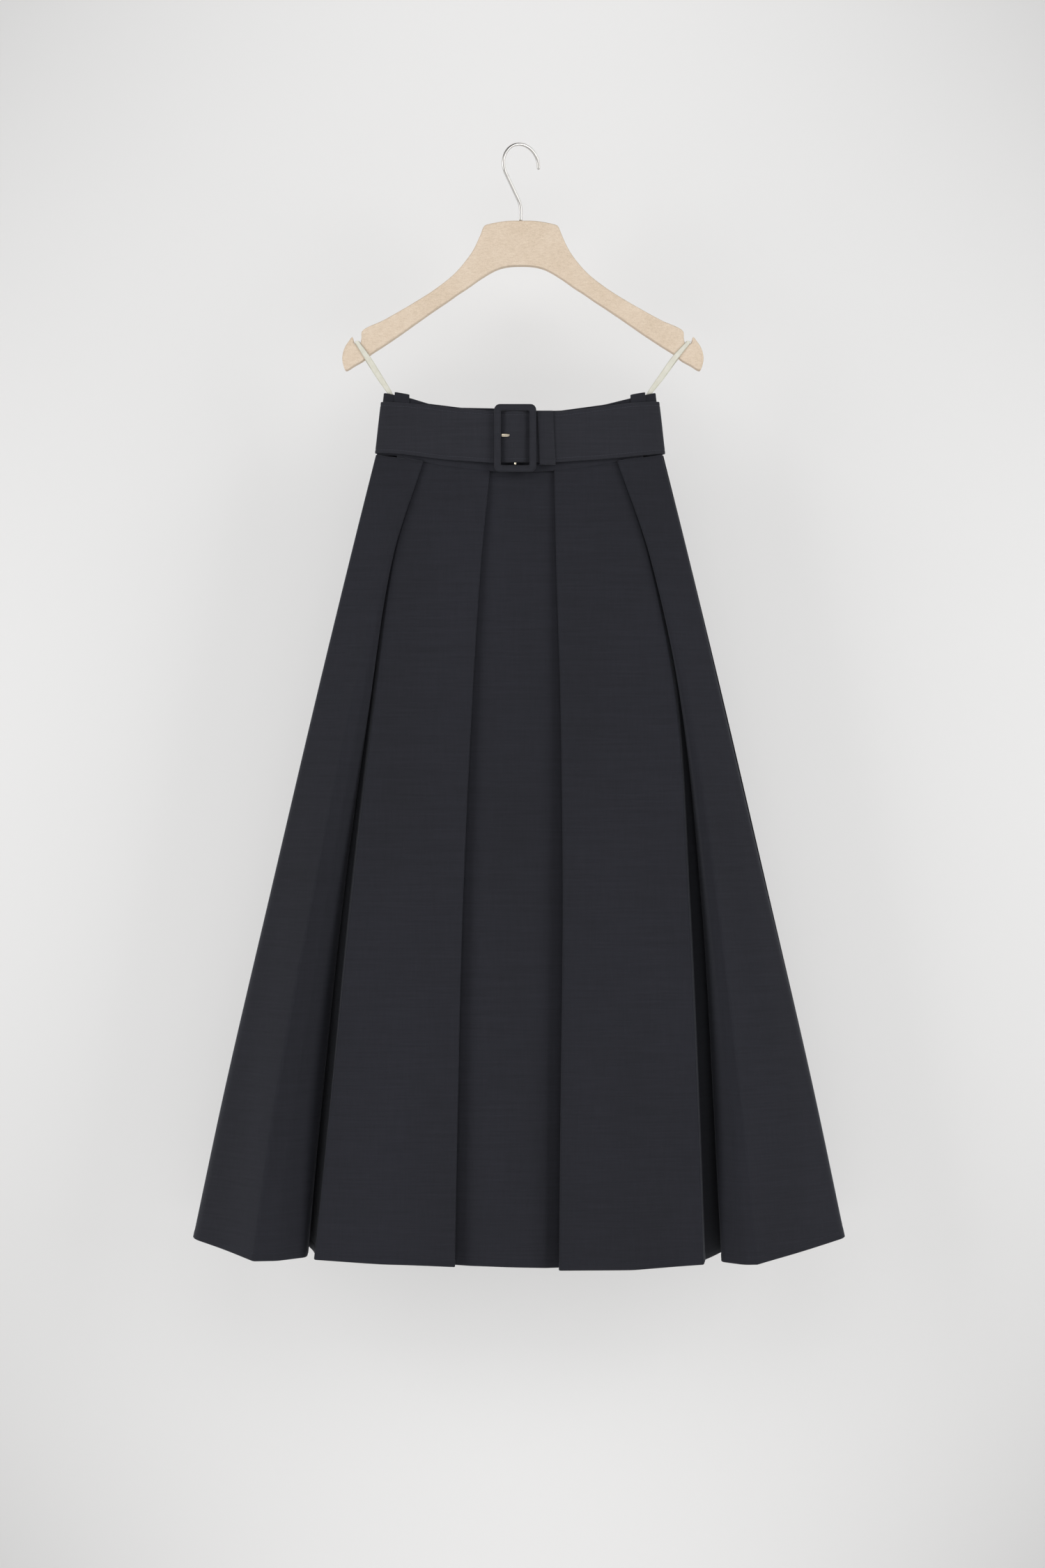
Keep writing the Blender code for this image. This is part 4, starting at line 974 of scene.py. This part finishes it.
# The keeper, a closed band of the same cloth round both layers of the strap.
keeper_top = on_table(BELT_TOP, KEEPER_X) + 0.4 + KEEPER_WALL
keeper_low = on_table(BELT_LOW, KEEPER_X) - 2.0 - KEEPER_WALL
keeper_back = -(BAND_DEPTH + BAND_WALL + SEAM_GAP)
keeper_front = FRONT_Y - SEAM_GAP - KEEPER_WALL
ring = fine_box(
    (keeper_back + keeper_front) / 2, (keeper_top + keeper_low) / 2, abs(keeper_front - keeper_back) - KEEPER_WALL,
    keeper_top - keeper_low - KEEPER_WALL, 0.9, 6, 20,
)
round_it = np.concatenate([[0], np.cumsum(np.linalg.norm(np.diff(ring, axis=0), axis=1))])
grid, facts = [], []
for side in np.linspace(-0.5, 0.5, 15):
    row, row_facts = [], []
    for (y, z), s in zip(ring, round_it):
        lean = (keeper_top - z) / (keeper_top - keeper_low) * 2.9 - 1.4
        crown = -0.22 * (1 - (2 * side) ** 2) if y < FRONT_Y else 0.0
        row.append((KEEPER_X + side * KEEPER_WIDE + lean, y + crown, z))
        row_facts.append((s * MM, 1.0, side * KEEPER_WIDE * MM))
    grid.append(row)
    facts.append(row_facts)
keeper = settle(shell("keeper_band", np.array(grid), KEEPER_WALL, BELT_CLOTH, closed=True, facts=np.array(facts)), "keeper")

# ---------------------------------------------------------------- hanger
def arm_side(sign, reach):
    """One arm's outline from the middle of its top edge round the end to the middle of its lower edge."""
    stretch = (reach - 62.5) / (TIP[9][0] - 62.5)

    def place(distance):
        return HANGER_X + sign * (distance if distance < 62.5 else 62.5 + (distance - 62.5) * stretch)

    out = [(place(d), top) for d, top, _ in ARM[1:]]
    out += [(place(d), z) for d, z in TIP]
    out += [(place(d), low) for d, _, low in reversed(ARM[1:])]
    return out


def closed_curve(points, per_span):
    """A smooth closed line through the points, that doesn't overshoot where they are unevenly spaced."""
    points = np.asarray(points, float)
    count = len(points)
    out = []
    for i in range(count):
        p = [points[(i + k) % count] for k in (-1, 0, 1, 2)]
        t = [0.0]
        for a, b in zip(p, p[1:]):
            t.append(t[-1] + max(np.linalg.norm(b - a), 1e-6) ** 0.5)
        parts = max(int(np.linalg.norm(p[2] - p[1]) / (per_span if abs(p[1][0]) < 160 else per_span / 2)), 2)
        for k in range(parts):
            s = t[1] + (t[2] - t[1]) * k / parts
            a1 = (t[1] - s) / (t[1] - t[0]) * p[0] + (s - t[0]) / (t[1] - t[0]) * p[1]
            a2 = (t[2] - s) / (t[2] - t[1]) * p[1] + (s - t[1]) / (t[2] - t[1]) * p[2]
            a3 = (t[3] - s) / (t[3] - t[2]) * p[2] + (s - t[2]) / (t[3] - t[2]) * p[3]
            b1 = (t[2] - s) / (t[2] - t[0]) * a1 + (s - t[0]) / (t[2] - t[0]) * a2
            b2 = (t[3] - s) / (t[3] - t[1]) * a2 + (s - t[1]) / (t[3] - t[1]) * a3
            out.append((t[2] - s) / (t[2] - t[1]) * b1 + (s - t[1]) / (t[2] - t[1]) * b2)
    return np.array(out)


outline = [(HANGER_X, ARM[0][1])] + arm_side(1, HANGER_RIGHT) + [(HANGER_X, ARM[0][2])] + list(reversed(arm_side(-1, HANGER_LEFT)))
outline = closed_curve(outline, 2.4)
# The board's faces are flat, and its rim is rounded all the way along, less where the outline turns tightly.
ahead, behind = np.roll(outline, -1, 0), np.roll(outline, 1, 0)
run_on = ahead - behind
run_on /= np.linalg.norm(run_on, axis=1, keepdims=True)
area = 0.5 * float(np.sum(outline[:, 0] * ahead[:, 1] - ahead[:, 0] * outline[:, 1]))
into = np.stack([-run_on[:, 1], run_on[:, 0]], -1) * (1 if area > 0 else -1)
first, second = outline - behind, ahead - outline
bend = np.abs(first[:, 0] * second[:, 1] - first[:, 1] * second[:, 0]) / (np.linalg.norm(first, axis=1) * np.linalg.norm(second, axis=1))
tight = bend / np.maximum((np.linalg.norm(first, axis=1) + np.linalg.norm(second, axis=1)) / 2, 1e-6)
RIM = 1.5
soft = np.minimum(RIM, 0.55 / np.maximum(tight, 1e-6))
for _ in range(12):
    soft = np.minimum(soft, (np.roll(soft, 1) + soft + np.roll(soft, -1)) / 3)
loops = []
for k in range(7):
    phi = math.pi / 2 * (1 - k / 6)
    loops.append((soft * (1 - math.cos(phi)), -HANGER_DEEP / 2 + RIM * (1 - math.sin(phi))))
loops += [(inset, -depth) for inset, depth in reversed(loops)]
count = len(outline)
verts = []
for inset, depth in loops:
    at = outline + into * inset[:, None]
    verts += [(x * MM, depth * MM, z * MM) for x, z in at]
faces = []
for k in range(len(loops) - 1):
    for i in range(count):
        n = (i + 1) % count
        faces.append((k * count + i, k * count + n, (k + 1) * count + n, (k + 1) * count + i))
from_rim = len(faces)
for k in (0, len(loops) - 1):
    line = [Vector(verts[k * count + i]) for i in range(count)]
    faces += [tuple(k * count + i for i in corner) for corner in tessellate_polygon([line])]
board_mesh = bpy.data.meshes.new("hanger_board")
board_mesh.from_pydata(verts, [], faces)
tidy = bmesh.new()
tidy.from_mesh(board_mesh)
bmesh.ops.recalc_face_normals(tidy, faces=tidy.faces)
tidy.to_mesh(board_mesh)
tidy.free()
board_mesh.polygons.foreach_set("use_smooth", [i < from_rim for i in range(len(board_mesh.polygons))])
board = bpy.data.objects.new("hanger_board", board_mesh)
bpy.context.scene.collection.objects.link(board)
board_mesh.materials.append(BOARD)
settle(board, "hanger")


def hook_path():
    """The wire's centre line in the hook's own plane: (u, z). The bow's top has its inner side at the origin."""
    centre = WIRE / 2 - BOW_RADIUS
    out = [(BOW_RADIUS * math.cos(math.radians(a)), centre + BOW_RADIUS * math.sin(math.radians(a))) for a in range(-6, 205, 10)]
    leave = math.radians(209.3)
    out.append((BOW_RADIUS * math.cos(leave), centre + BOW_RADIUS * math.sin(leave)))
    neck, bend = (-0.3, -66.0), 7.0
    u, z = out[-1]
    length = math.hypot(neck[0] - u, neck[1] - z)
    du, dz = (neck[0] - u) / length, (neck[1] - z) / length
    out.append((u + du * length * 0.45, z + dz * length * 0.45))
    for i in range(5):
        t = i / 4
        a, b, c = (1 - t) ** 2, 2 * t * (1 - t), t * t
        out.append((a * (neck[0] - du * bend) + b * neck[0] + c * neck[0], a * (neck[1] - dz * bend) + b * neck[1] + c * (neck[1] - bend)))
    out.append((neck[0], ARM[0][1] + SEAM_GAP))
    return out


path = np.array([(u, 0.0, z) for u, z in hook_path()])
bow, rest = through(path[:22], 3), through(path[21:], 6)
path = np.vstack([bow, rest[1:]])
path = np.array([(HANGER_X - 0.05 + u * math.cos(HOOK_TURN), u * math.sin(HOOK_TURN), z) for u, _, z in path])
gone = np.concatenate([[0], np.cumsum(np.linalg.norm(np.diff(path, axis=0), axis=1))])
tip = np.array([0.0, 0.15, 0.45, 0.9, 1.35])
head = [path[0] + (path[1] - path[0]) * t / np.linalg.norm(path[1] - path[0]) for t in tip]
body = path[gone > 1.8]
line = np.vstack([head, body])
radii = [WIRE / 2 * math.sqrt(max(1 - (1 - t / 1.8) ** 2, 0.02)) for t in tip] + [WIRE / 2] * len(body)
settle(loft("hook_wire", sweep(line, radii, 24), STEEL), "hook")

# ---------------------------------------------------------------- ribbon loops
for name, sign, reach, cross_x in (("ribbon_left", -1, HANGER_LEFT, -168.3), ("ribbon_right", 1, HANGER_RIGHT, 171.7)):
    stretch = (reach - 62.5) / (TIP[9][0] - 62.5)
    notch_x = HANGER_X + sign * (62.5 + (NOTCH[0] - 62.5) * stretch)
    low_x, mouth_x = sign * 143.2, sign * 144.3
    side = HANGER_DEEP / 2 + SEAM_GAP + RIBBON_WALL / 2
    over = NOTCH[1] + SEAM_GAP + RIBBON_WALL / 2 + 0.7
    half_loop = (  # x, y, z, share of the width, lean of the width from level in degrees
        (low_x, 0.9, -291.0, 0.78, 0), (low_x, 0.9, -281.0, 0.78, 6), (mouth_x, 0.95, -275.2, 0.8, 15),
        ((mouth_x + cross_x) / 2, 4.0, -256.5, 1.0, 30), (cross_x, side, -237.5, 1.0, 32),
        (notch_x, side + 0.1, over - 1.4, 0.72, 12), (notch_x, side - 1.0, over, 0.7, 0),
    )
    path = [(x, -y, z, share, lean) for x, y, z, share, lean in half_loop] + list(reversed(half_loop))
    fine = through([(x, y, z, share, lean) for x, y, z, share, lean in path], 9)
    grid, facts = [], []
    run = np.concatenate([[0], np.cumsum(np.linalg.norm(np.diff(fine[:, :3], axis=0), axis=1))])
    for edge in np.linspace(-0.5, 0.5, 9):
        row, row_facts = [], []
        for (x, y, z, share, lean), s in zip(fine, run):
            wide, tilt = edge * share * RIBBON_WIDE, math.radians(lean)
            row.append((x + wide * math.cos(tilt), y, z - sign * wide * math.sin(tilt)))
            row_facts.append(((edge + 0.5) * RIBBON_WIDE * MM, (0.5 - abs(edge)) * RIBBON_WIDE * MM, s * MM))
        grid.append(row)
        facts.append(row_facts)
    settle(shell(name + "_strip", np.array(grid), 0.5, RIBBON_CLOTH, facts=np.array(facts)), name)

# ---------------------------------------------------------------- room, camera and light
def painted(name, colour, one_sided):
    m = Nodes(name)
    cloud = m.noise(m.here(), 3.0, 3.0)
    base = m.ramp(cloud, (0.2, tuple(c * 0.985 for c in colour)), (0.8, colour))
    m.link(base, m.shader.inputs["Base Color"])
    m.put("Roughness", 0.9)
    m.put("Specular IOR Level", 0.1)
    # painted light: the white wall and floor glow by themselves as well as taking the lamps' light, so that their
    # shadows stay pale
    m.put("Emission Color", (1.0, 0.995, 0.99, 1.0))
    # painted shade: the wall's painted glow is a little weaker towards the picture's corners
    parts = m.tree.nodes.new("ShaderNodeSeparateXYZ")
    m.link(m.here(), parts.inputs[0])
    across = m.math("POWER", m.math("ABSOLUTE", parts.outputs[0]), 2.0)
    up = m.math("POWER", m.math("ABSOLUTE", m.math("ADD", parts.outputs[2], 0.71)), 2.0)
    painted_corner_shade = m.math("MINIMUM", m.math("MULTIPLY", m.math("MULTIPLY", across, up), 0.52), 0.2)
    m.link(m.math("SUBTRACT", WALL_GLOW, painted_corner_shade), m.shader.inputs["Emission Strength"])
    if one_sided:
        side = m.tree.nodes.new("ShaderNodeNewGeometry")
        clear = m.tree.nodes.new("ShaderNodeBsdfTransparent")
        mix = m.tree.nodes.new("ShaderNodeMixShader")
        m.link(side.outputs["Backfacing"], mix.inputs[0])
        m.link(m.shader.outputs[0], mix.inputs[1])
        m.link(clear.outputs[0], mix.inputs[2])
        m.link(mix.outputs[0], m.tree.nodes["Material Output"].inputs["Surface"])
    return m.made


def plane(name, corners, finish):
    mesh = bpy.data.meshes.new(name)
    mesh.from_pydata(corners, [], [(0, 1, 2, 3)])
    made = bpy.data.objects.new(name, mesh)
    bpy.context.scene.collection.objects.link(made)
    mesh.materials.append(finish)
    return made


WALL_Y = 0.14
WALL_PAINT_AND_GLOW = painted("white_wall_painted_glow", (0.40, 0.398, 0.396), True)
plane("wall", [(-7, WALL_Y, -1.75), (7, WALL_Y, -1.75), (7, WALL_Y, 4.5), (-7, WALL_Y, 4.5)], WALL_PAINT_AND_GLOW)
plane("floor", [(-7, -7, -1.75), (7, -7, -1.75), (7, WALL_Y, -1.75), (-7, WALL_Y, -1.75)], WALL_PAINT_AND_GLOW)

scene = bpy.context.scene
scene.view_settings.view_transform = "Standard"
scene.view_settings.look = "None"
scene.view_settings.exposure = 0.0
scene.view_settings.gamma = 1.0
world = bpy.data.worlds.new("studio")
scene.world = world
world.use_nodes = True
world.node_tree.nodes["Background"].inputs[0].default_value = (1.0, 0.995, 0.99, 1)
world.node_tree.nodes["Background"].inputs[1].default_value = WORLD_POWER


def lamp(name, place, target, size, power, colour=(1, 1, 1)):
    data = bpy.data.lights.new(name, "AREA")
    data.shape = "RECTANGLE"
    data.size, data.size_y = size
    data.energy = power
    data.color = colour
    made = bpy.data.objects.new(name, data)
    scene.collection.objects.link(made)
    made.location = place
    made.rotation_euler = (Vector(target) - Vector(place)).to_track_quat("-Z", "Y").to_euler()
    made.visible_camera = False
    return made


for entry in LAMPS:
    lamp(*entry)

camera_data = bpy.data.cameras.new("camera")
camera_data.lens = 61.94
camera_data.sensor_width = 36.0
camera_data.sensor_fit = "AUTO"
camera_data.clip_start, camera_data.clip_end = 0.05, 60
camera = bpy.data.objects.new("camera", camera_data)
scene.collection.objects.link(camera)
camera.location = (0.0031, -3.0, -0.7095)
camera.rotation_euler = (math.radians(90), 0, 0)
scene.camera = camera
